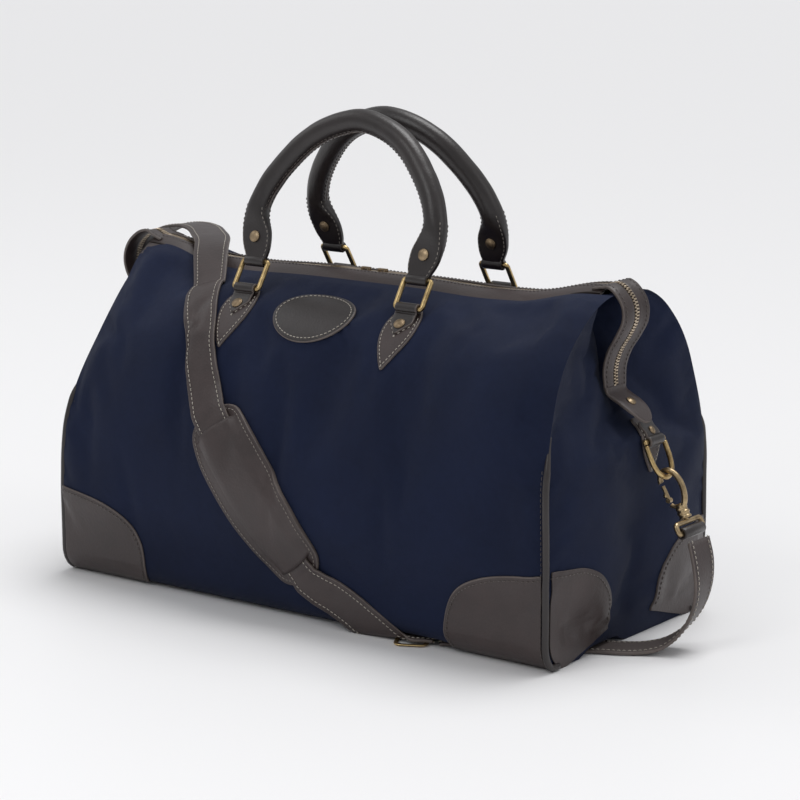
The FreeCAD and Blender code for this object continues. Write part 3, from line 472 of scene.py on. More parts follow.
def skin_point(side, x, run):
    """The unwrinkled skin of the front (-1) or back (+1), run metres down from the mouth."""
    if run < S_ARC:
        angle = ARC_END - run / RADIUS
        tall = RADIUS + rise(x) / math.sin(ARC_END)
        return np.array((x, side * (ARC_Y + RADIUS * math.cos(angle)), SHOULDER + tall * math.sin(angle)))
    if run < S_WALL:
        return np.array((x, side * SIDE, SHOULDER - (run - S_ARC)))
    if run < S_BASE:
        angle = (run - S_WALL) / FILLET
        return np.array((x, side * (SIDE - FILLET + FILLET * math.cos(angle)),
                         FILLET - FILLET * math.sin(angle)))
    return np.array((x, side * (SIDE - FILLET - (run - S_BASE)), 0.0))


def bump2(x, z, cx, cz, wx, wz):
    return math.exp(-((x - cx) / wx) ** 2 - ((z - cz) / wz) ** 2)


def relief(side, x, z):
    """Hollows and swells of the filled cloth, given one by one, in metres along the skin's normal."""
    high = 0.0
    if side < 0:
        high += 0.007 * bump2(x, z, 0.165, 0.258, 0.040, 0.022)      # puffed fold beside the right ring
        high += 0.008 * bump2(x, z, 0.215, 0.225, 0.050, 0.045)      # full right shoulder
        high -= 0.007 * bump2(x, z, 0.120, 0.225, 0.020, 0.060)      # hollow below the right ring
        high -= 0.006 * bump2(x, z, -0.215, 0.235, 0.045, 0.040)     # slack left shoulder
        high += 0.004 * bump2(x, z, 0.060, 0.120, 0.110, 0.060)
        high -= 0.004 * bump2(x, z, 0.225, 0.120, 0.018, 0.060)
    else:
        high += 0.006 * bump2(x, z, 0.150, 0.230, 0.080, 0.050)
        high += 0.005 * bump2(x, z, -0.120, 0.200, 0.090, 0.060)
        high -= 0.005 * bump2(x, z, 0.0, 0.250, 0.060, 0.030)
    high += 0.003 * bump2(x, z, 0, 0.10, 0.2, 0.07)
    return high


def calm(x, run):
    """Nearly 0 below a handle's ring, where the sewn leather keeps the cloth flat."""
    near = min(1.0, ((abs(x) - 0.0875) / 0.030) ** 2)
    return max(near, ease(run, 0.085, 0.12))


def end_pull(x, z):
    """Inward lean of the end seams near the top; the left end has slumped further."""
    near = ease(abs(x), 0.13, HALF)
    tall = ease(z, 0.10, 0.275)
    return near * tall * (0.017 if x < 0 else 0.004), near * tall * (0.020 if x < 0 else -0.004)


NX, NR = 89, 54
XS = np.linspace(-HALF, HALF, NX)
RUNS = np.linspace(0.0, S_BASE, NR)


def panel_grid(side):
    grid = np.zeros((NX, NR, 3))
    for i, x in enumerate(XS):
        for j, run in enumerate(RUNS):
            p = skin_point(side, x, run)
            q = skin_point(side, x, run + 0.001) - skin_point(side, x, run - 0.001)
            out = unit(np.cross(q, (1, 0, 0))) * side
            if out[1] * side < 0 and out[2] < 0.2:
                out = -out
            pull_x, pull_y = end_pull(x, p[2])
            free = math.sin(math.pi * min(1.0, j / (NR - 1))) ** 0.5 * (1 - ease(run, 0.235, 0.282))
            wobble = noise.noise(Vector((x * 9, side * 3, p[2] * 13))) * 0.0028
            p = p + out * (relief(side, x, p[2]) + wobble) * free * calm(x, run)
            p[0] -= math.copysign(pull_x, x)
            rolled = 0.013 * ease(abs(x), 0.236, HALF) ** 1.5 * ease(p[2], 0.13, 0.22)
            p[1] -= side * (pull_y + rolled) * min(1.0, abs(p[1]) / 0.08)
            grid[i, j] = p
    return grid


front_grid, back_grid = panel_grid(-1), panel_grid(1)
NY = 29
CREASE = {1: [(0.262, 0.0), (0.2635, 0.045), (0.268, 0.090), (0.2715, 0.140), (0.2700, 0.172),
              (0.250, 0.190), (0.236, 0.208), (0.228, 0.240), (0.221, 0.270), (0.217, 0.283)],
          -1: [(0.262, 0.0), (0.2635, 0.045), (0.267, 0.090), (0.2695, 0.140), (0.2685, 0.172),
               (0.247, 0.190), (0.233, 0.208), (0.226, 0.240), (0.220, 0.270), (0.216, 0.283)]}
CREASE_AT = [0.0, 0.12, 0.24, 0.38, 0.47, 0.56, 0.64, 0.78, 0.92, 1.0]


def gusset_grid(end):
    """End panel between the two seams: it swells below the fold and dives inwards above it."""
    column = -1 if end > 0 else 0
    grid = np.zeros((NR, NY, 3))
    for j in range(NR):
        front, back = front_grid[column, j], back_grid[column, j]
        share = 1 - RUNS[j] / S_BASE
        cx = np.interp(share, CREASE_AT, [p[0] for p in CREASE[end]])
        cz = np.interp(share, CREASE_AT, [p[1] for p in CREASE[end]])
        centre = np.array((end * cx, 0.0, cz))
        above = ease(share, 0.44, 0.58)
        for k in range(NY):
            t = 2 * k / (NY - 1) - 1
            edge = front if t < 0 else back
            part = abs(t)
            keep = part ** (2.2 - 1.25 * above)
            p = centre * (1 - keep) + edge * keep
            p[1] = centre[1] * (1 - part) + edge[1] * part
            wobble = noise.noise(Vector((end * 5, p[1] * 16, p[2] * 14))) * 0.003
            p[0] += wobble * (1 - part ** 4) * (1 if 0 < j < NR - 1 else 0)
            grid[j, k] = p
    return grid


gussets = {end: gusset_grid(end) for end in (-1, 1)}


# one welded cloth: front, back, two gussets, base, and a lid over the mouth for the pressure
ids = {"front": np.arange(NX * NR).reshape(NX, NR), "back": np.arange(NX * NR).reshape(NX, NR) + NX * NR}
cloth_points = [*front_grid.reshape(-1, 3), *back_grid.reshape(-1, 3)]


def add_inner(grid, frame_ids):
    """Number a grid whose border is already numbered, adding its inside points."""
    numbers = np.array(frame_ids)
    for index in zip(*np.where(numbers < 0)):
        numbers[index] = len(cloth_points)
        cloth_points.append(grid[index])
    return numbers


for end, column in ((-1, 0), (1, -1)):
    border = np.full((NR, NY), -1)
    border[:, 0], border[:, -1] = ids["front"][column], ids["back"][column]
    ids[end] = add_inner(gussets[end], border)
for name, row in (("base", -1), ("lid", 0)):
    border = np.full((NX, NY), -1)
    border[:, 0], border[:, -1] = ids["front"][:, row], ids["back"][:, row]
    border[0], border[-1] = ids[-1][row], ids[1][row]
    part = np.linspace(0, 1, NY)[None, :, None]
    level = front_grid[:, row][:, None] * (1 - part) + back_grid[:, row][:, None] * part
    ids[name] = add_inner(level, border)

cloth_points = np.array(cloth_points)


def id_faces(numbers, flip=False):
    rows, columns = numbers.shape
    flat = numbers.reshape(-1)
    return [tuple(int(flat[k]) for k in quad) for quad in grid_faces(rows, columns, 0, flip=flip)]


CLOTH_FACES = (id_faces(ids["front"]) + id_faces(ids["back"], True) + id_faces(ids[-1])
               + id_faces(ids[1], True) + id_faces(ids["base"]) + id_faces(ids["lid"], True))


HOOK_AT = (0.016, 0.128)  # y and z behind the right snap hook, where the canvas is held back


def inflate(points, cap):
    """Cloth simulation of the filled bag: light pressure from inside, seams and trim held."""
    item = make_mesh("cloth_sim", points, CLOTH_FACES, [])
    hold = np.zeros(len(points))
    for key in ("front", "back"):
        grid = ids[key]
        hold[grid[:, :3]] = 1.0
        hold[grid[:, -3:]] = 1.0
        hold[grid[0]] = 1.0
        hold[grid[-1]] = 1.0
        for x in (-0.0875, 0.0875):
            near = np.abs(XS - x) < 0.018
            hold[grid[near][:, :16]] = 1.0
    for end in (-1, 1):
        hold[ids[end][-4:]] = 1.0
        hold[ids[end][:2]] = 1.0
        middle = NY // 2
        hold[ids[end][:, middle]] = np.maximum(hold[ids[end][:, middle]], 0.6)
        tab = np.abs(np.linspace(-0.12, 0.12, NY) - (0.016 if end > 0 else 0.034)) < 0.02
        rows = (RUNS > S_ARC - 0.01) & (RUNS < S_ARC + 0.06)
        hold[ids[end][np.ix_(rows, tab)]] = 1.0
    hold[ids["base"].reshape(-1)] = 1.0
    hold[ids["lid"].reshape(-1)] = 1.0
    group = item.vertex_groups.new(name="hold")
    for index, weight in enumerate(hold):
        if weight > 0:
            group.add([index], float(weight), "REPLACE")
    cloth = item.modifiers.new("cloth", "CLOTH")
    settings = cloth.settings
    settings.quality = 6
    settings.mass = 0.25
    settings.tension_stiffness = settings.compression_stiffness = 22
    settings.shear_stiffness = 12
    settings.bending_stiffness = 1.2
    settings.shrink_min = -0.022
    settings.use_pressure = True
    settings.uniform_pressure_force = 3.2
    settings.effector_weights.gravity = 0.05
    settings.vertex_group_mass = "hold"
    settings.pin_stiffness = 1.5
    cloth.collision_settings.use_collision = False
    scene = bpy.context.scene
    for step in range(1, 19):
        scene.frame_set(step)
    shape = item.evaluated_get(bpy.context.evaluated_depsgraph_get()).to_mesh()
    moved = np.zeros(len(points) * 3)
    shape.vertices.foreach_get("co", moved)
    moved = moved.reshape(-1, 3)
    scene.frame_set(1)
    bpy.data.objects.remove(item)
    shift = moved - points
    size = np.linalg.norm(shift, axis=1, keepdims=True)
    shift = shift * (cap * np.tanh(size / cap) / np.maximum(size, 1e-9))
    shift[hold >= 1.0] = 0
    low = np.array([ease(z, 0.030, 0.085) if abs(y) > 0.1 else 1.0 for x, y, z in points])
    for k, (x, y, z) in enumerate(points):
        if x > 0.235 and abs(y - 0.016) < 0.1:
            low[k] *= 1 - math.exp(-((y - HOOK_AT[0]) / 0.034) ** 2 - ((z - HOOK_AT[1]) / 0.050) ** 2)
    return points + shift * low[:, None]


cloth_points = inflate(cloth_points, 0.009)


UNDER_LINE = [np.array(p) for p in ((0.096, -0.128), (0.122, -0.107), (0.262, -0.036), (0.300, -0.017))]


def distance_to_line(x, y):
    best = 1.0
    for a, b in zip(UNDER_LINE, UNDER_LINE[1:]):
        t = min(1.0, max(0.0, np.dot((x, y) - a, b - a) / np.dot(b - a, b - a)))
        best = min(best, float(np.linalg.norm((x, y) - a - (b - a) * t)))
    return best


for spot in cloth_points:
    if spot[2] < 0.012:
        lift = 0.0064 * (1 - ease(distance_to_line(spot[0], spot[1]), 0.019, 0.030))
        spot[2] = max(spot[2], lift)


def cloth_normals():
    mesh = bpy.data.meshes.new("normals")
    mesh.from_pydata([tuple(v) for v in cloth_points], [], CLOTH_FACES)
    mesh.update()
    out = np.zeros(len(cloth_points) * 3)
    mesh.vertex_normals.foreach_get("vector", out)
    bpy.data.meshes.remove(mesh)
    return out.reshape(-1, 3)


cloth_out = cloth_normals()
surface = {key: (cloth_points[ids[key]], cloth_out[ids[key]]) for key in ("front", "back", -1, 1, "base")}


def look_up(key, row, column, off):
    points, normals = surface[key]
    rows, columns = points.shape[:2]
    row, column = min(max(row, 0), rows - 1.0001), min(max(column, 0), columns - 1.0001)
    i, j = int(row), int(column)
    a, b = row - i, column - j
    weights = ((1 - a) * (1 - b), (1 - a) * b, a * (1 - b), a * b)
    corners = ((i, j), (i, j + 1), (i + 1, j), (i + 1, j + 1))
    p = sum(w * points[c] for w, c in zip(weights, corners))
    n = unit(sum(w * normals[c] for w, c in zip(weights, corners)))
    return p + n * off


def on_side(side):
    """Maps (x, run, height) to the wrinkled front or back."""
    key = "front" if side < 0 else "back"
    return lambda x, run, off=0.0: look_up(key, (x + HALF) / (2 * HALF) * (NX - 1),
                                           run / S_BASE * (NR - 1), off)


def on_end(end):
    """Maps (y, run, height) to the wrinkled end panel: y is a share of the panel's half depth."""
    return lambda part, run, off=0.0: look_up(end, run / S_BASE * (NR - 1),
                                              (part + 1) / 2 * (NY - 1), off)


def normal_of(mapper, a, b):
    return unit(mapper(a, b, 0.001) - mapper(a, b, 0.0))


def cloth_panel(name, key, uv_rows, uv_columns, flip, node):
    points = surface[key][0]
    rows, columns = points.shape[:2]
    faces = grid_faces(rows, columns, 0, flip=flip)
    item = make_mesh(name, points.reshape(-1, 3), faces, [canvas])
    layer = item.data.uv_layers.new(name="flat")
    for loop in item.data.loops:
        i, j = divmod(loop.vertex_index, columns)
        layer.data[loop.index].uv = (uv_rows[i], uv_columns[j])
    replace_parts(item, node)
    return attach(item, "bag")


LAY_Y = np.linspace(-0.12, 0.12, NY)
cloth_panel("canvas_front", "front", XS, RUNS, False, "front_panel")
cloth_panel("canvas_back", "back", XS, RUNS, True, "back_panel")
cloth_panel("canvas_end_left", -1, RUNS, LAY_Y, False, "left_gusset")
cloth_panel("canvas_end_right", 1, RUNS, LAY_Y, True, "right_gusset")
cloth_panel("canvas_base", "base", XS, LAY_Y, False, "base_panel")

# ---------------------------------------------------------------- piping and corner patches


def seam_points(side, end, stand):
    """Path of a seam cord: down one end seam, standing a little proud of both cloths."""
    mapper, rim = on_side(side), on_end(end)
    runs = np.linspace(0.004, S_BASE - 0.004, 110)
    points = []
    for run in runs:
        p = mapper(end * HALF, run)
        out = normal_of(mapper, end * (HALF - 0.004), run) + normal_of(rim, side * 0.97, run)
        points.append(p + unit(out) * stand)
    return np.array(points)


for side, side_name in ((-1, "front"), (1, "back")):
    for end, end_name in ((-1, "left"), (1, "right")):
        path = seam_points(side, end, 0.0022)
        path = path[path[:, 2] < 0.192]
        path[:, 2] = np.maximum(path[:, 2], 0.0030)
        fade = np.array([1 - ease(z, 0.158, 0.190) for z in path[:, 2]])
        path[:, 0] -= end * 0.0040 * (1 - fade)
        path[:, 1] -= side * 0.0040 * (1 - fade)
        if side * end > 0:
            path[:, 0] -= end * 0.0012
            path[:, 1] -= side * 0.0030
        pipe = tube("piping_%s_%s" % (side_name, end_name), path, 0.0012 + 0.0017 * fade, "bag",
                    leather_dark, 14)
        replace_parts(pipe, "piping_" + end_name)
        low = path[fade > 0.9]
        stitches("piping_stitch_%s_%s" % (side_name, end_name), low - [end * 0.0042, 0, 0]
                 + np.array([0, side, 0]) * 0.0006, np.tile([0.0, side, 0.1], (len(low), 1)), "bag",
                 0.0042, 0.003, 0.0003, material=thread_dark)


def run_at(z):
    return S_ARC + SHOULDER - z


def fan_plate(name, outer, anchor, mapper, body, thick=0.0018):
    """Corner patch: outline curve in flat coordinates, filled back to the seam corner."""
    outer = np.array(outer)
    straight = [outer[-1] + (np.array(anchor) - outer[-1]) * t for t in np.linspace(0, 1, 30)[1:-1]]
    back = [np.array(anchor) + (outer[0] - np.array(anchor)) * t for t in np.linspace(0, 1, 30)[:-1]]
    outline = np.array(list(outer) + straight + back)
    centre = outer.mean(0) * 0.45 + np.array(anchor) * 0.55
    return plate(name, outline, mapper, thick, body, leather, leather_edge_and_highlight, centre)


def corner_curve(points):
    return smooth_rows([np.array(p, float) for p in points], 12)


for side, side_name in ((-1, "front"), (1, "back")):
    for end, end_name in ((-1, "left"), (1, "right")):
        mapper, rim = on_side(side), on_end(end)
        shape = [(0.168, 0.0), (0.1635, 0.018), (0.168, 0.042), (0.181, 0.060), (0.204, 0.072),
                 (0.232, 0.078), (0.2585, 0.080)]
        outer = corner_curve([(end * x, min(run_at(z), S_BASE + (0.004 if z == 0 else 0))) for x, z in shape])
        outer[:, 1] = np.minimum(outer[:, 1], S_BASE - 0.0005)
        tag = "%s_%s" % (side_name, end_name)
        face = fan_plate("corner_face_" + tag, outer, (end * 0.2585, S_BASE - 0.0005), mapper, "bag")
        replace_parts(face, "corner_patch_" + tag)
        line = inset_path(np.vstack([outer, [[end * 0.2585, S_BASE]]]), 0.0034)[1:-2]
        stitches("corner_face_stitch_" + tag, [mapper(x, r, 0.0021) for x, r in line],
                 [normal_of(mapper, x, r) for x, r in line], "bag", 0.0042, 0.003, material=thread_dark)
        shape = [(0.955, 0.081), (0.80, 0.074), (0.62, 0.066), (0.44, 0.052), (0.31, 0.030), (0.285, 0.004)]
        outer = corner_curve([(side * y, run_at(z)) for y, z in shape])
        outer[:, 1] = np.clip(outer[:, 1], 0, S_BASE - 0.001)
        edge = fan_plate("corner_end_" + tag, outer, (side * 0.955, S_BASE - 0.001), rim, "bag")
        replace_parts(edge, "corner_patch_" + tag)
        line = [(y + side * 0.028, r + 0.0034 * (1 - k / len(outer))) for k, (y, r) in enumerate(outer)][2:-3]
        stitches("corner_end_stitch_" + tag, [rim(y, r, 0.0021) for y, r in line],
                 [normal_of(rim, y, r) for y, r in line], "bag", 0.0042, 0.003, material=thread_dark)

# ---------------------------------------------------------------- bands and zip along the mouth

BAND_END = 0.244


def mouth_level(x):
    return MOUTH_Z + rise(x)


def mouth_path(xs):
    return np.array([(x, 0.0, mouth_level(x)) for x in xs])


band_xs = np.linspace(-BAND_END, BAND_END, 150)
centre_line = mouth_path(band_xs)
for side, side_name in ((-1, "front"), (1, "back")):
    rows, outs = [], []
    for p in centre_line:
        flare = ease(abs(p[0]), 0.20, BAND_END)
        wave = noise.noise(Vector((p[0] * 14, side * 4, 1.0)))
        row, out = [], []
        for t in np.linspace(0, 1, 9):
            y = 0.0052 + 0.0235 * t + 0.002 * flare * t
            drop = 0.0105 * t ** 1.7 + flare * 0.004 * t
            tilt = math.atan2(0.0105 * 1.7 * t ** 0.7, 0.0235) + 0.1 * wave
            row.append((p[0], p[1] + side * y, p[2] + 0.0052 - drop + 0.0008 * wave))
            out.append((0, side * math.sin(tilt), math.cos(tilt)))
        if side > 0:
            row, out = row[::-1], out[::-1]
        rows.append(row)
        outs.append(out)
    rows, outs = np.array(rows), unit(np.array(outs))
    band = strap_mesh("band_" + side_name, rows[::-1], outs[::-1], 0.0021, "bag", leather, leather_edge_and_highlight)
    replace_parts(band, "top_band_" + side_name)
    for tag, column in (("a", 1), ("b", -2)):
        stitches("band_stitch_%s_%s" % (side_name, tag), rows[:, column] + outs[:, column] * 0.0011,
                 outs[:, column], "bag", 0.0038, 0.0027, 0.0003, material=thread_dark)
    tape_rows = np.array([[(p[0], p[1] + side * y, p[2] + z) for y, z in
                           ((0.0008, 0.0030), (0.004, 0.0028), (0.010, 0.0022), (0.020, 0.0006))]
                          for p in centre_line])
    tape_out = np.tile([0.0, 0.0, 1.0], (len(tape_rows), 4, 1))
    if side > 0:
        tape_rows = tape_rows[:, ::-1]
    tape = strap_mesh("tape_" + side_name, tape_rows[::-1], tape_out, 0.0008, "bag", tape_cloth, tape_cloth)
    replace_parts(tape, "zip_tape_" + side_name)


def zip_teeth(name, path, outs, pitch=0.0026, size=1.0):
    """Two rows of stamped metal teeth, staggered and locked along a path."""
    index, count = resample(path, pitch / 2)
    spots = at_index(path, index)
    outs = unit(at_index(outs, index))
    ahead = unit(np.gradient(spots, axis=0))
    side = np.cross(outs, ahead)
    verts, faces = [], []
    shape = [(-0.0006, 0.00050), (0.0012, 0.00062), (0.0030, 0.00072)]
    for k, (p, a, s, o) in enumerate(zip(spots, ahead, side, outs)):
        way = 1 if k % 2 else -1
        start = len(verts)
        for across, half in shape:
            tall = 0.0010 if across < 0 else 0.0013
            bevel = 0.00022
            ring = [(-half + bevel, tall), (half - bevel, tall), (half, tall - bevel), (half, -tall),
                    (-half, -tall), (-half, tall - bevel)]
            for along, up in ring:
                verts.append(p + s * (way * across * size) + a * (along * size) + o * (up * size))
        faces += grid_faces(3, 6, start, True, flip=way < 0)
        faces.append(tuple(range(start, start + 6))[::-1] if way > 0 else tuple(range(start, start + 6)))
        last = start + 12
        faces.append(tuple(range(last, last + 6)) if way > 0 else tuple(range(last, last + 6))[::-1])
    item = make_mesh(name, verts, faces, [teeth_metal], smooth=False)
    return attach(item, "bag")


teeth = zip_teeth("zip_teeth_mouth", centre_line + [0, 0, 0.0042], np.tile([0.0, 0, 1.0], (150, 1)))
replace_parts(teeth, "zip_chain")

TAIL_ROUTE = {
    "left": [(-0.234, 0, 0.2935), (-0.2435, 0, 0.2965), (-0.252, 0.001, 0.299), (-0.263, 0.002, 0.2955),
             (-0.2735, 0.002, 0.286), (-0.2785, 0.002, 0.273), (-0.2755, 0.002, 0.259),
             (-0.2630, 0.001, 0.2435), (-0.252, 0.0, 0.228), (-0.2475, 0, 0.213), (-0.2465, 0, 0.2095)],
    "right": [(0.234, 0, 0.2935), (0.2435, 0, 0.296), (0.2505, -0.001, 0.297), (0.2585, -0.002, 0.2925),
              (0.2655, -0.002, 0.2825), (0.2662, -0.002, 0.2695), (0.2595, -0.001, 0.2565),
              (0.2505, 0.0, 0.2425), (0.2462, 0.0, 0.228), (0.2466, 0, 0.213), (0.2470, 0, 0.2095)],
}
for end_name, end in (("left", -1), ("right", 1)):
    line = smooth_rows([np.array(p) for p in TAIL_ROUTE[end_name]], 10)
    ahead = unit(np.gradient(line, axis=0))
    out = unit(np.cross(ahead, np.tile([0.0, end, 0.0], (len(line), 1))) * -1)
    if out[0][2] < 0:
        out = -out
    aside = np.cross(out, ahead)
    twist = np.linspace(0, 1, len(line))
    for tag, way in (("a", -1), ("b", 1)):
        offsets = np.linspace(0.0042, 0.0165, 6)
        curl = 0.0022 * np.sin(twist * math.pi)
        rows = np.array([[p + s * (way * o * (1 - 0.16 * t)) + n * (0.0004 + c * ((o - 0.004) / 0.012) ** 2 * way)
                          for o in offsets] for p, s, n, t, c in zip(line, aside, out, twist, curl)])
        if way > 0:
            rows = rows[:, ::-1]
        leg = strap_mesh("zip_tail_%s_%s" % (end_name, tag), rows[::-1] if way * end > 0 else rows,
                         np.repeat(out[:, None], 6, 1)[::-1] if way * end > 0 else np.repeat(out[:, None], 6, 1),
                         0.0024, "bag", leather, leather_edge_and_highlight)
        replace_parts(leg, "zip_tail_" + end_name)
        column = -2 if way < 0 else 1
        stitches("zip_tail_stitch_%s_%s" % (end_name, tag), rows[:, column] + out * 0.0013, out, "bag",
                 0.0038, 0.0026, 0.0003, material=thread_dark)
    rows = np.array([[p + s * o for o in np.linspace(-0.0065, 0.0065, 5)] for p, s in zip(line, aside)])
    strip = strap_mesh("zip_tail_tape_" + end_name, rows, np.repeat(out[:, None], 5, 1), 0.0009, "bag",
                       tape_cloth, tape_cloth)
    zip_teeth("zip_teeth_tail_" + end_name, line + out * 0.0006, out)
    # pointed tab with a stud
    tab_spine = smooth_rows([np.array((end * x, 0, z)) for x, z in
                             ((0.2472, 0.213), (0.2485, 0.2085), (0.2535, 0.2050), (0.262, 0.2008),
                              (0.2715, 0.1945), (0.2800, 0.1862))], 8)
    tab_ahead = unit(np.gradient(tab_spine, axis=0))
    tab_out = unit(np.cross(tab_ahead, np.tile([0.0, -end, 0.0], (len(tab_spine), 1))))
    if tab_out[-1][0] * end < 0:
        tab_out = -tab_out
    tab_aside = np.cross(tab_out, tab_ahead)
    marks = np.linspace(0, 1, len(tab_spine))
    widths = 0.0142 * np.sqrt(np.clip(1 - np.clip((marks - 0.62) / 0.38, 0, 1) ** 1.7, 0.003, 1))
    rows = np.array([[p + s * (w * o) for o in np.linspace(-1, 1, 7)]
                     for p, s, w in zip(tab_spine, tab_aside, widths)])
    tab = strap_mesh("zip_tab_" + end_name + "_leather", rows, np.repeat(tab_out[:, None], 7, 1), 0.0026,
                     "bag", leather, leather_edge_and_highlight)
    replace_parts(tab, "zip_tab_" + end_name)

# ---------------------------------------------------------------- turned and folded pieces


def turned(name, centre, axis, profile, body, material, sides=40, closed=False):
    """Turned piece: profile holds (radius, height) pairs along the axis."""
    axis = unit(axis)
    u = unit(np.cross(axis, (0.31, 0.52, 0.79)))
    v = np.cross(axis, u)
    verts = []
    for radius, height in profile:
        for k in range(sides):
            turn = 2 * math.pi * k / sides
            verts.append(np.asarray(centre) + axis * height + (u * math.cos(turn) + v * math.sin(turn)) * radius)
    faces = grid_faces(len(profile), sides, 0, True)
    last = (len(profile) - 1) * sides
    if closed:
        faces += [(last + k, last + (k + 1) % sides, (k + 1) % sides, k) for k in range(sides)]
    else:
        faces.append(tuple(range(sides))[::-1])
        faces.append(tuple(last + k for k in range(sides)))
    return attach(make_mesh(name, verts, faces, [material]), body)


def rivet(name, centre, axis, radius, body):
    """Head of a rivet: a rolled rim round a low dome."""
    shape = [(1.0, -0.0005), (1.03, 0.0002), (1.0, 0.0007), (0.93, 0.00095), (0.86, 0.00086),
             (0.78, 0.00102), (0.60, 0.00140), (0.38, 0.00165), (0.16, 0.00178), (0.01, 0.0018)]
    item = turned(name, centre, axis, [(radius * r, h) for r, h in shape], body, brass_dull)
    return item


def sleeve(name, centre, width, radius, body, axis=(1, 0, 0)):
    """Leather wrapped tightly round a bar."""
    half, bore, round_off = width / 2, 0.00235, 0.0006
    profile = [(bore, -half), (radius - round_off, -half), (radius - 0.0002, -half + 0.0002),
               (radius, -half + round_off), (radius, half - round_off), (radius - 0.0002, half - 0.0002),
               (radius - round_off, half), (bore, half)]
    item = turned(name, centre, axis, profile, body, leather_dark, closed=True)
    return item


def fold(name, flat, centre, down, out, width, body, radius=0.0036, thick=0.0022, turn_to=285):
    """Strip that lies on the leather below (rows of flat points with normals) and wraps a bar above."""
    rows = [row for row, _ in flat]
    normals = [normal for _, normal in flat]
    across = len(rows[0])
    offsets = np.linspace(-width / 2, width / 2, across)
    side = np.cross(down, out)
    order = 1 if np.dot(rows[-1][-1] - rows[-1][0], side) > 0 else -1
    for turn in range(-12, turn_to, 22):
        c, s = math.cos(math.radians(turn)), math.sin(math.radians(turn))
        spoke = down * c + out * s
        rows.append(np.array([centre + spoke * radius + side * (o * order) for o in offsets]))
        normals.append(np.tile(spoke, (across, 1)))
    rows, normals = smooth_rows(rows, 4), unit(smooth_rows(normals, 4))
    if order < 0:
        rows, normals = rows[:, ::-1], normals[:, ::-1]
    item = strap_mesh(name, rows, normals, thick, body, leather_dark, leather_edge_and_highlight)
    return item


# ---------------------------------------------------------------- patches on the front and back

front = on_side(-1)


def stiff(mapper, centre, half):
    """Smooth quadratic sheet resting on the cloth round centre, as thick leather lies."""
    marks = [(a, b) for a in np.linspace(-1, 1, 9) for b in np.linspace(-1, 1, 9)]
    spots = np.array([mapper(centre[0] + a * half[0], centre[1] + b * half[1]) for a, b in marks])
    fit = np.linalg.lstsq(np.array([(1, a, b, a * a, a * b, b * b) for a, b in marks]), spots, rcond=None)[0]

    def at(x, run, off=0.0):
        a, b = (x - centre[0]) / half[0], (run - centre[1]) / half[1]
        spot = np.array((1, a, b, a * a, a * b, b * b)) @ fit
        out = unit(np.cross(np.array((0, 1, 0, 2 * a, b, 0)) @ fit, np.array((0, 0, 1, 0, a, 2 * b)) @ fit))
        return spot + out * (flip * (lift + off))

    lift, flip = 0.0, 1.0
    flip = 1.0 if np.dot(at(*centre, 0.001) - at(*centre), normal_of(mapper, *centre)) > 0 else -1.0
    inside = [(a, b, p) for (a, b), p in zip(marks, spots) if a * a + b * b <= 1.0]
    lift = max(float(np.dot(p - at(centre[0] + a * half[0], centre[1] + b * half[1]),
                            normal_of(mapper, centre[0] + a * half[0], centre[1] + b * half[1])))
               for a, b, p in inside) - 0.0004
    return at


oval_mid = np.array((-0.002, 0.062))
oval_map = stiff(front, oval_mid, (0.040, 0.028))
oval = [oval_mid + (0.040 * math.cos(a), 0.028 * math.sin(a)) for a in np.linspace(0, 2 * math.pi, 97)[:-1]]
patch = plate("oval_leather", oval, oval_map, 0.0019, "bag", leather_dark, leather_edge_and_highlight, oval_mid)
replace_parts(patch, "oval_patch")
line = inset_path(oval, 0.0034)
stitches("oval_stitch", [oval_map(x, r, 0.0021) for x, r in line], [normal_of(oval_map, x, r) for x, r in line],
         "bag", 0.0039, 0.0028, 0.00042, True)

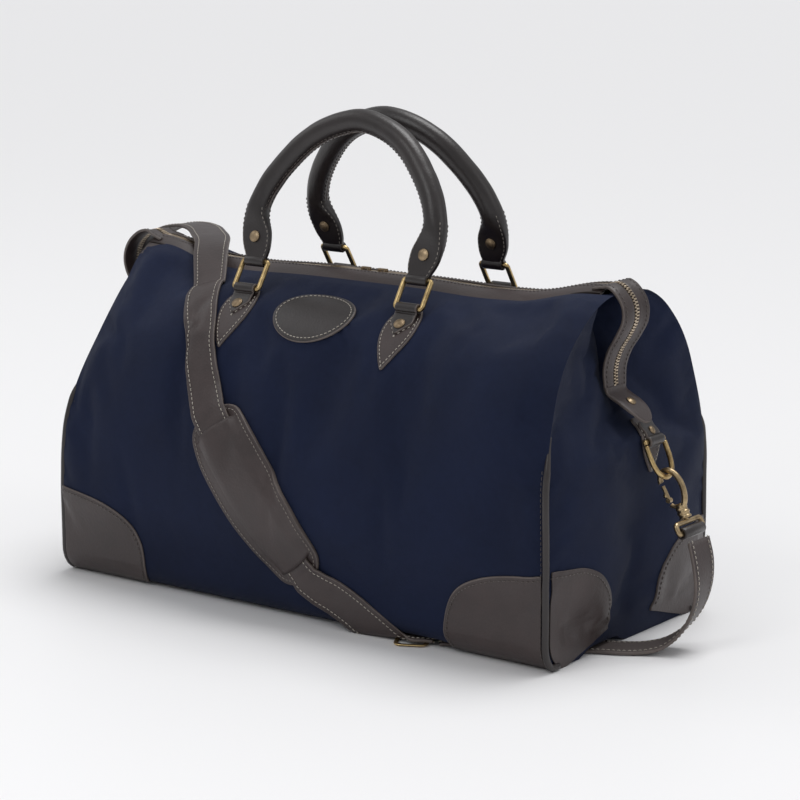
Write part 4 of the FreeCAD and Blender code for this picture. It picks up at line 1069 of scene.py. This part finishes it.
LEAF = [(0, 0.0385), (0.0085, 0.0385), (0.0135, 0.047), (0.0160, 0.058), (0.0150, 0.072), (0.0095, 0.087),
        (0.0025, 0.1000), (0, 0.1025), (-0.0025, 0.1000), (-0.0095, 0.087), (-0.0150, 0.072),
        (-0.0160, 0.058), (-0.0135, 0.047), (-0.0085, 0.0385)]
BAR_RUN = 0.0447
for side, side_name in ((-1, "front"), (1, "back")):
    mapper = on_side(side)
    for end, end_name in ((-1, "left"), (1, "right")):
        x0, tag = end * 0.0875, "%s_%s" % (side_name, end_name)
        leaf = [(x0 + a, r) for a, r in closed_curve(LEAF, 8)]
        item = plate("chape_leaf_" + tag, leaf, mapper, 0.0019, "bag", leather, leather_edge_and_highlight, (x0, 0.062))
        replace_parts(item, "chape_" + tag)
        line = inset_path(leaf, 0.0024)
        keep = [k for k, (x, r) in enumerate(line) if r > 0.050]
        start = next(i for i in range(len(keep)) if i and keep[i] - keep[i - 1] > 1) if keep[0] == 0 else 0
        keep = keep[start:] + keep[:start]
        stitches("chape_stitch_" + tag, [mapper(*line[k], 0.0021) for k in keep],
                 [normal_of(mapper, *line[k]) for k in keep], "bag", 0.0036, 0.0026, 0.00040)
        flat = []
        for run in (0.0692, 0.0662, 0.062, 0.0575, 0.0545, 0.0515):
            half = 0.0100 * min(1.0, max(0.06, (0.0700 - run) / 0.0125))
            offsets = np.linspace(-half, half, 9)
            lift = 0.0031 + 0.0012 * ease(-run, -0.056, -0.0505)
            flat.append((np.array([mapper(x0 + o, run, lift) for o in offsets]),
                         np.array([normal_of(mapper, x0 + o, run) for o in offsets])))
        angle = ARC_END - BAR_RUN / RADIUS
        out = np.array((0, side * math.cos(angle), math.sin(angle)))
        down = np.array((0, side * math.sin(angle), -math.cos(angle)))
        bar = np.array((x0, side * 0.069, 0.270))
        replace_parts(fold("chape_fold_" + tag, flat, bar, down, out, 0.0205, "bag"), "chape_" + tag)
        marks = ([(x0 - 0.0122, 0.0570), (x0 - 0.006, 0.0643), (x0, 0.0716)],
                 [(x0, 0.0716), (x0 + 0.006, 0.0643), (x0 + 0.0122, 0.0570)])
        for letter, mark in zip("ab", marks):
            stitches("chape_vee_%s_%s" % (letter, tag), [mapper(x, r, 0.0022) for x, r in mark],
                     [normal_of(mapper, x, r) for x, r in mark], "bag", 0.0034, 0.0025, 0.00040)
        head = rivet("chape_rivet_" + tag, mapper(x0, 0.0600, 0.0043), normal_of(mapper, x0, 0.0600),
                     0.0050, "bag")
        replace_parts(head, "chape_rivets")

# ---------------------------------------------------------------- handles

LEAN = math.radians(17)
HANDLE = [(87.5, 2.0, 10.4, 3.0, 0.5), (88.5, 11, 13.5, 3.2, 0.5), (91, 21, 15, 3.4, 0.5),
          (94, 31, 13.5, 5.5, 0.62), (95.5, 41, 11, 8.5, 0.85), (94, 52, 10, 10, 1), (87, 69, 10, 10, 1),
          (74, 88, 10, 10, 1), (54, 109, 10, 10, 1), (30, 123, 10, 10, 1), (0, 130, 10, 10, 1)]
HANDLE += [(-u, v, a, b, f) for u, v, a, b, f in HANDLE[-2::-1]]
for side, side_name in ((-1, "front"), (1, "back")):
    body = "handle_" + side_name
    along = np.array((0, -side * math.sin(LEAN), math.cos(LEAN)))
    out = np.array((0, side * math.cos(LEAN), math.sin(LEAN)))
    origin = np.array((0, side * 0.055, 0.292))
    route = smooth_rows([np.array(row) for row in HANDLE], 9)
    spots = np.array([origin + np.array((u, 0, 0)) / 1000 + along * v / 1000 for u, v, a, b, f in route])
    ahead = unit(np.gradient(spots, axis=0))
    ahead[0], ahead[-1] = along, -along
    across = unit(np.cross(np.tile(out, (len(spots), 1)), ahead))
    sides, verts = 40, []
    for p, w, (u, v, a, b, f) in zip(spots, across, route):
        crease = 0.00022 * noise.noise(Vector((u * 0.09, v * 0.09, side)))
        for k in range(sides):
            turn = 2 * math.pi * k / sides
            c, s = math.cos(turn), math.sin(turn)
            verts.append(p + w * ((a / 1000 + crease) * math.copysign(abs(c) ** f, c))
                         + out * ((b / 1000 + crease) * math.copysign(abs(s) ** f, s)))
    faces = grid_faces(len(spots), sides, 0, True)
    faces += [tuple(range(sides))[::-1], tuple((len(spots) - 1) * sides + k for k in range(sides))]
    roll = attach(make_mesh("handle_roll_" + side_name, verts, faces, [leather_dark]), body)
    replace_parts(roll, "handle_" + side_name)
    for end, end_name in ((-1, "left"), (1, "right")):
        wrap = sleeve("handle_loop_%s_%s" % (side_name, end_name), origin + [end * 0.0875, 0, 0], 0.0208,
                      0.0048, body)
        for way in (-1, 1):
            centre = origin + [end * 0.091, 0, 0] + along * 0.021 + out * (way * 0.0039)
            head = rivet("handle_rivet_%s_%s_%s" % (side_name, end_name, "ab"[way > 0]), centre,
                         out * way, 0.0050, body)
            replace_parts(head, "handle_%s_rivets" % side_name)
            picked = [k for k in range(len(route)) if 4 < route[k][1] < 47 and route[k][0] * end > 0]
            for edge in (-1, 1):
                path, normals = [], []
                for k in picked:
                    a, b, power = route[k][2] / 1000, route[k][3] / 1000, 2 / route[k][4]
                    share = 1 - 0.0019 / a
                    tall = (1 - share ** power) ** (1 / power)
                    path.append(spots[k] + across[k] * (edge * a * share) + out * (way * b * tall))
                    normals.append(across[k] * (edge * share ** (power - 1) / a)
                                   + out * (way * tall ** (power - 1) / b))
                stitches("handle_stitch_%s_%s_%s%s" % (side_name, end_name, "ab"[way > 0], "ab"[edge > 0]),
                         path, normals, body, 0.0036, 0.0026, 0.00038, material=thread_mid)
    inner = [k for k in range(len(route)) if route[k][1] > 46]
    under = -1 if np.dot(across[len(route) // 2], along) > 0 else 1
    seam = [spots[k] + across[k] * (under * 0.0101) for k in inner]
    ways = [unit(np.array(q) - spots[k]) for q, k in zip(seam, inner)]
    # the welt is in the pale edge leather, whose paleness is partly a painted highlight
    tube("handle_seam_" + side_name, [np.array(q) - w * 0.0006 for q, w in zip(seam, ways)], 0.0009, body,
         leather_edge_and_highlight, 8)
    for turn, letter in ((0.30, "a"), (-0.30, "b")):
        path = [spots[k] + (w * math.cos(turn) + out * math.sin(turn)) * 0.01005 for k, w in zip(inner, ways)]
        stitches("handle_seam_stitch_%s_%s" % (side_name, letter), path,
                 [w * math.cos(turn) + out * math.sin(turn) for w in ways], body, 0.0040, 0.0029, 0.00034,
                 material=thread_dark)

# ---------------------------------------------------------------- strap

STRAP = 0.0026
PAD_FROM, PAD_TO = np.array((-0.082, 0.158)), np.array((0.025, 0.290))
PAD_LENGTH = float(np.linalg.norm(PAD_TO - PAD_FROM))
PAD_WAY = (PAD_TO - PAD_FROM) / PAD_LENGTH


def tight(x, run, off):
    """Front of the body with a small bend at the bottom, as the strap takes it."""
    bend = 0.006
    wall_end = S_ARC + SHOULDER - bend
    if run < wall_end:
        return np.array((x, -SIDE - off, SHOULDER - (run - S_ARC)))
    angle = min((run - wall_end) / bend, math.pi / 2)
    past = max(0.0, run - wall_end - bend * math.pi / 2)
    return np.array((x, -(SIDE - bend + (bend + off) * math.cos(angle) - past),
                     bend - (bend + off) * math.sin(angle)))


def strap_at(x, run, off):
    share = ease(run, 0.272, 0.302)
    low = tight(x, run, off)
    return low if share >= 1 else front(x, run, off) * (1 - share) + low * share


pad_offs = [(0, 0.0040), (0.012, 0.0040), (0.019, 0.0023), (0.026, 0.0005), (0.085, 0.0005),
            (PAD_LENGTH - 0.026, 0.0005), (PAD_LENGTH - 0.019, 0.0023), (PAD_LENGTH - 0.012, 0.0040),
            (PAD_LENGTH, 0.0040)]
LAID = [(-0.140, 0.034, 0.0024), (-0.128, 0.060, 0.0008), (-0.112, 0.092, 0.0024),
        (-0.100, 0.120, 0.0022), (-0.091, 0.140, 0.0018)]
LAID += [tuple(PAD_FROM + PAD_WAY * along) + (off,) for along, off in pad_offs]
LAID += [(0.038, 0.297, 0.0024), (0.050, 0.302, 0.0005), (0.062, 0.307, 0.0005), (0.074, 0.313, 0.0002),
         (0.084, 0.319, -0.0006), (0.094, 0.325, -0.0018), (0.104, 0.3315, -0.0033), (0.113, 0.337, -0.0045)]
LEFT = [((-0.296, 0.034, 0.2445), (0, 1, 0)), ((-0.298, 0.035, 0.262), (0, 1, 0)),
        ((-0.290, 0.037, 0.283), (0.1, 1, 0)), ((-0.270, 0.040, 0.296), (0.15, 1, 0)),
        ((-0.245, 0.038, 0.301), (0.3, 1, 0)), ((-0.220, 0.028, 0.301), (0.55, 0.84, 0)),
        ((-0.198, 0.010, 0.2995), (0.7, 0.72, 0.05)), ((-0.178, -0.008, 0.2975), (0.75, 0.66, 0.1)),
        ((-0.160, -0.031, 0.2905), (0.78, 0.6, 0.25))]
RIGHT = [((0.278, -0.028, 0.0016), (0.45, -0.89, 0)), ((0.292, -0.019, 0.0024), (0.45, -0.89, 0)),
         ((0.306, -0.011, 0.007), (0.4, -0.92, 0)), ((0.318, -0.003, 0.018), (0.3, -0.95, 0)),
         ((0.327, 0.004, 0.035), (0.2, -0.98, 0)), ((0.329, 0.010, 0.054), (0.1, -1, 0)),
         ((0.325, 0.015, 0.073), (0, -1, 0)), ((0.3185, 0.018, 0.090), (0, -1, 0))]
ACROSS = np.linspace(-0.0155, 0.0155, 9)
BUCKLE, UNDER_END = np.array((0.122, -0.107)), np.array((0.262, -0.036))
UNDER_WAY = unit(UNDER_END - BUCKLE)


def free_row(centre, aside):
    return np.array([np.array(centre) + unit(aside) * a for a in ACROSS])


def under_row(distance, level):
    x, y = BUCKLE + UNDER_WAY * distance
    return free_row((x, y, level + STRAP / 2), (UNDER_WAY[1], -UNDER_WAY[0], 0))


def laid_rows(route):
    """Rows of the strap on the front; stations are added between the given ones."""
    full = []
    for here, there in zip(route, route[1:]):
        count = math.ceil(math.dist(here[:2], there[:2]) / 0.008)
        full += [tuple(a + (b - a) * k / count for a, b in zip(here, there)) for k in range(count)]
    full.append(route[-1])
    flat = np.array(full)
    way = unit(np.gradient(flat[:, :2], axis=0))
    return [np.array([strap_at(x + d * a, run - c * a, off + STRAP / 2) for a in ACROSS])
            for (x, run, off), (c, d) in zip(full, way)]


def strap(name, rows, node, outward):
    rows = smooth_rows(rows, 3)
    middle = rows[:, len(ACROSS) // 2]
    ahead = unit(np.gradient(middle, axis=0))
    normals = np.array([unit(np.cross(np.tile(t, (len(ACROSS), 1)), np.gradient(row, axis=0)))
                        for t, row in zip(ahead, rows)])
    if outward(middle, normals[:, 4]) < 0:
        rows, normals = rows[:, ::-1], -normals
    item = strap_mesh(name, rows, normals, STRAP, "bag", leather, leather_edge_and_highlight, leather_back)
    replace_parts(item, node)
    for column, letter in ((1, "a"), (-2, "b")):
        for way, face in ((1, "out"), (-1, "in")):
            inset = rows[:, column] + (rows[:, len(ACROSS) // 2] - rows[:, column]) * -0.04
            stitches("%s_stitch_%s_%s" % (name, letter, face),
                     inset + normals[:, column] * (way * (STRAP / 2 + 0.0001)), normals[:, column] * way,
                     "bag", 0.0042, 0.0030, 0.00040)
    return item


leather_back = leather_material("leather_back", (0.055, 0.043, 0.040), (0.11, 0.088, 0.082), (0.6, 0.8), 700.0, 0.2)
long_rows = [free_row(c, a) for c, a in LEFT] + laid_rows(LAID)
long_rows += [under_row(d, 0.0023) for d in (0, 0.010, 0.018)]
strap("strap_front", long_rows, "strap_long",
      lambda middle, out: out[np.argmin(np.abs(middle[:, 2] - 0.20))][1] * -1)
short_rows = [under_row(d, 0.0003) for d in (0.024, 0.060, 0.100, float(np.linalg.norm(UNDER_END - BUCKLE)))]
short_rows += [free_row(c, a) for c, a in RIGHT]
strap("strap_end", short_rows, "strap_short",
      lambda middle, out: out[np.argmin(np.abs(middle[:, 2] - 0.054))][0])

WIRE_REACH, EYE_DROP = 0.032, 0.048  # D-ring bar to its wire, and wire to the swivel eye
HOOKS = {"right": (np.array((0.2755, 0.016, 0.168)), unit((0.42, 0, -0.907)), unit((-0.5, 0, 0.866))),
         "left": (np.array((-0.274, 0.034, 0.168)), unit((-0.42, 0, 0.907)), unit((0.25, 0, -0.968)))}
for end_name, end in (("left", -1), ("right", 1)):
    bar, reach, up = HOOKS[end_name]
    eye = bar + reach * WIRE_REACH - up * EYE_DROP
    wrap = sleeve("strap_eye_" + end_name, eye, 0.0316, 0.0049, "bag", (0, 1, 0))
    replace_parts(wrap, "strap_long" if end < 0 else "strap_short")
    # leaf on the end panel, folded over the straight bar of the D-ring
    rim = on_end(end)

    def leaf_map(a, b, off=0.0, rim=rim, bar=bar):
        return rim((bar[1] + a) / 0.118, run_at(bar[2] + b), 0.0006 + off)

    shape = [(0.0095, 0.001), (0.0115, -0.009), (0.0140, -0.019), (0.0110, -0.033), (0.003, -0.047),
             (0.0, -0.049), (-0.003, -0.047), (-0.0110, -0.033), (-0.0140, -0.019), (-0.0115, -0.009),
             (-0.0095, 0.001)]
    leaf = closed_curve(shape, 8)
    item = plate("dring_leaf_" + end_name, leaf, leaf_map, 0.0019, "bag", leather, leather_edge_and_highlight, (0, -0.02))
    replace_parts(item, "dring_tab_" + end_name)
    line = inset_path(leaf, 0.0023)
    keep = [k for k, (a, b) in enumerate(line) if b < -0.006]
    stitches("dring_leaf_stitch_" + end_name, [leaf_map(*line[k], 0.0021) for k in keep],
             [normal_of(leaf_map, *line[k]) for k in keep], "bag", 0.0036, 0.0026)
    flat = []
    for b in (-0.0215, -0.018, -0.0145, -0.011, -0.008):
        offsets = np.linspace(-1, 1, 9) * 0.0098
        lift = 0.0031 + 0.001 * ease(b, -0.012, -0.006)
        flat.append((np.array([leaf_map(o, b, lift) for o in offsets]),
                     np.array([normal_of(leaf_map, o, b) for o in offsets])))
    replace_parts(fold("dring_fold_" + end_name, flat, bar, np.array((0.0, 0, -1)), np.array((float(end), 0, 0)),
                     0.0200, "bag"), "dring_tab_" + end_name)
    # turned rings on the collar of the snap hook
    root = eye + up * 0.020
    rings = [(0.0047, -0.0092), (0.0053, -0.0087), (0.0053, -0.0074), (0.0047, -0.0069), (0.0047, -0.0052),
             (0.0054, -0.0047), (0.0054, -0.0032), (0.0047, -0.0027), (0.0047, -0.0009), (0.0052, -0.0004),
             (0.0050, 0.0004), (0.0037, 0.0022), (0.0028, 0.0041)]
    collar = turned("hook_collar_" + end_name, root, up, rings, "hook_" + end_name, brass_worn)
    head = rivet("dring_stud_" + end_name, leaf_map(0, -0.0165, 0.0042), normal_of(leaf_map, 0, -0.0165),
                 0.0036, "bag")
    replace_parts(head, "dring_tab_studs")
    # stud on the zip tab
    out = unit((end * 0.5, 0, 0.866))
    head = rivet("zip_stud_" + end_name, np.array((end * 0.262, 0, 0.2005)) + out * 0.0017, out, 0.0042, "bag")
    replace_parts(head, "zip_tab_studs")

# buckle under the front edge: a flattened brass frame
turn = math.atan2(UNDER_WAY[1], UNDER_WAY[0])
frame_line = []
for a in np.linspace(0, 2 * math.pi, 121)[:-1]:
    c, q = math.cos(a), math.sin(a)
    x, y = 0.0131 * math.copysign(abs(c) ** 0.32, c), 0.0201 * math.copysign(abs(q) ** 0.32, q)
    frame_line.append((BUCKLE[0] + x * math.cos(turn) - y * math.sin(turn),
                       BUCKLE[1] + x * math.sin(turn) + y * math.cos(turn), 0.0))
wire = tube("buckle_wire", frame_line, 0.0019, "bag", brass, 16, closed=True)
for vertex in wire.data.vertices:
    vertex.co.z = 0.0011 + vertex.co.z * 0.47
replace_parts(wire, "buckle_frame")

# ---------------------------------------------------------------- shoulder pad


def pad_map(s, t, off=0.0):
    x, run = PAD_FROM + PAD_WAY * s + np.array((PAD_WAY[1], -PAD_WAY[0])) * t
    return strap_at(x, run, off)


def pad_top(s, t):
    middle = ease(min(s, PAD_LENGTH - s), 0.018, 0.042)
    return 0.0034 + 0.0028 * middle * (1 - 0.55 * ease(abs(t), 0.017, 0.031))


def padded_map(s, t, off=0.0):
    """Heights of a plate 2.6 mm thick, swollen towards the middle of the pad."""
    return pad_map(s, t, 0.0006 + off * (pad_top(s, t) - 0.0006) / 0.0026)


half_pad = [(-0.001, 0.0), (0.0005, 0.010), (0.004, 0.0185), (0.011, 0.0260), (0.022, 0.0300),
            (0.040, 0.0322), (0.062, 0.0330), (PAD_LENGTH / 2, 0.0332)]
rim = half_pad + [(PAD_LENGTH - s, t) for s, t in half_pad[-2::-1]]
rim += [(s, -t) for s, t in rim[-2:0:-1]]
pad_line = closed_curve(rim, 8)
pad = plate("pad_body", pad_line, padded_map, 0.0026, "bag", leather, leather_edge_and_highlight,
            (PAD_LENGTH / 2, 0), 0.0, 0.0, 26)
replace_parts(pad, "shoulder_pad")
line = inset_path(pad_line, 0.0036)
stitches("pad_stitch", [padded_map(s, t, 0.0026) for s, t in line],
         [normal_of(pad_map, s, t) for s, t in line], "bag", 0.0040, 0.0029, 0.00036, True, thread_mid)
rows = []
for share in np.linspace(0, 1, 46):
    row = []
    for t in np.linspace(-0.0235, 0.0235, 15):
        slit = 0.0170 - 0.0025 * (1 - (t / 0.0235) ** 2)
        s = slit + (PAD_LENGTH - 2 * slit) * share
        crown = 1 - ease(abs(t), 0.0150, 0.0225)
        row.append(pad_map(s, t, (pad_top(s, t) - 0.0009) * (1 - crown) + 0.0066 * crown))
    rows.append(row)
rows = np.array(rows)
ahead, aside = np.gradient(rows, axis=0), np.gradient(rows, axis=1)
outs = unit(np.cross(ahead, aside))
if outs[23, 7][1] > 0:
    rows, outs = rows[:, ::-1], -outs[:, ::-1]
cover = strap_mesh("pad_cover", rows, outs, 0.0012, "bag", leather, leather_edge_and_highlight)

# ---------------------------------------------------------------- finishes of the plain metal pieces

for name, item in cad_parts.items():
    if name.startswith(("ring_", "dring_left", "dring_right")):
        finish = brass
    elif name.startswith(("hook", "gate", "swivel", "buckle")):
        finish = brass_worn
    elif name.startswith(("zip_slider", "zip_pull")):
        finish = brass_dull
    elif name == "base_board":
        finish = board
    else:
        continue
    item.data.materials.clear()
    item.data.materials.append(finish)

# ---------------------------------------------------------------- floor and finish

floor_material = Shader("floor", Roughness=0.55)
floor_material.bsdf.inputs["Base Color"].default_value = (0.84, 0.835, 0.84, 1)
floor_mesh = make_mesh("floor", [(-40, -40, -0.0004), (40, -40, -0.0004), (40, 40, -0.0004), (-40, 40, -0.0004)],
                       [(0, 1, 2, 3)], [floor_material.mat], smooth=False)
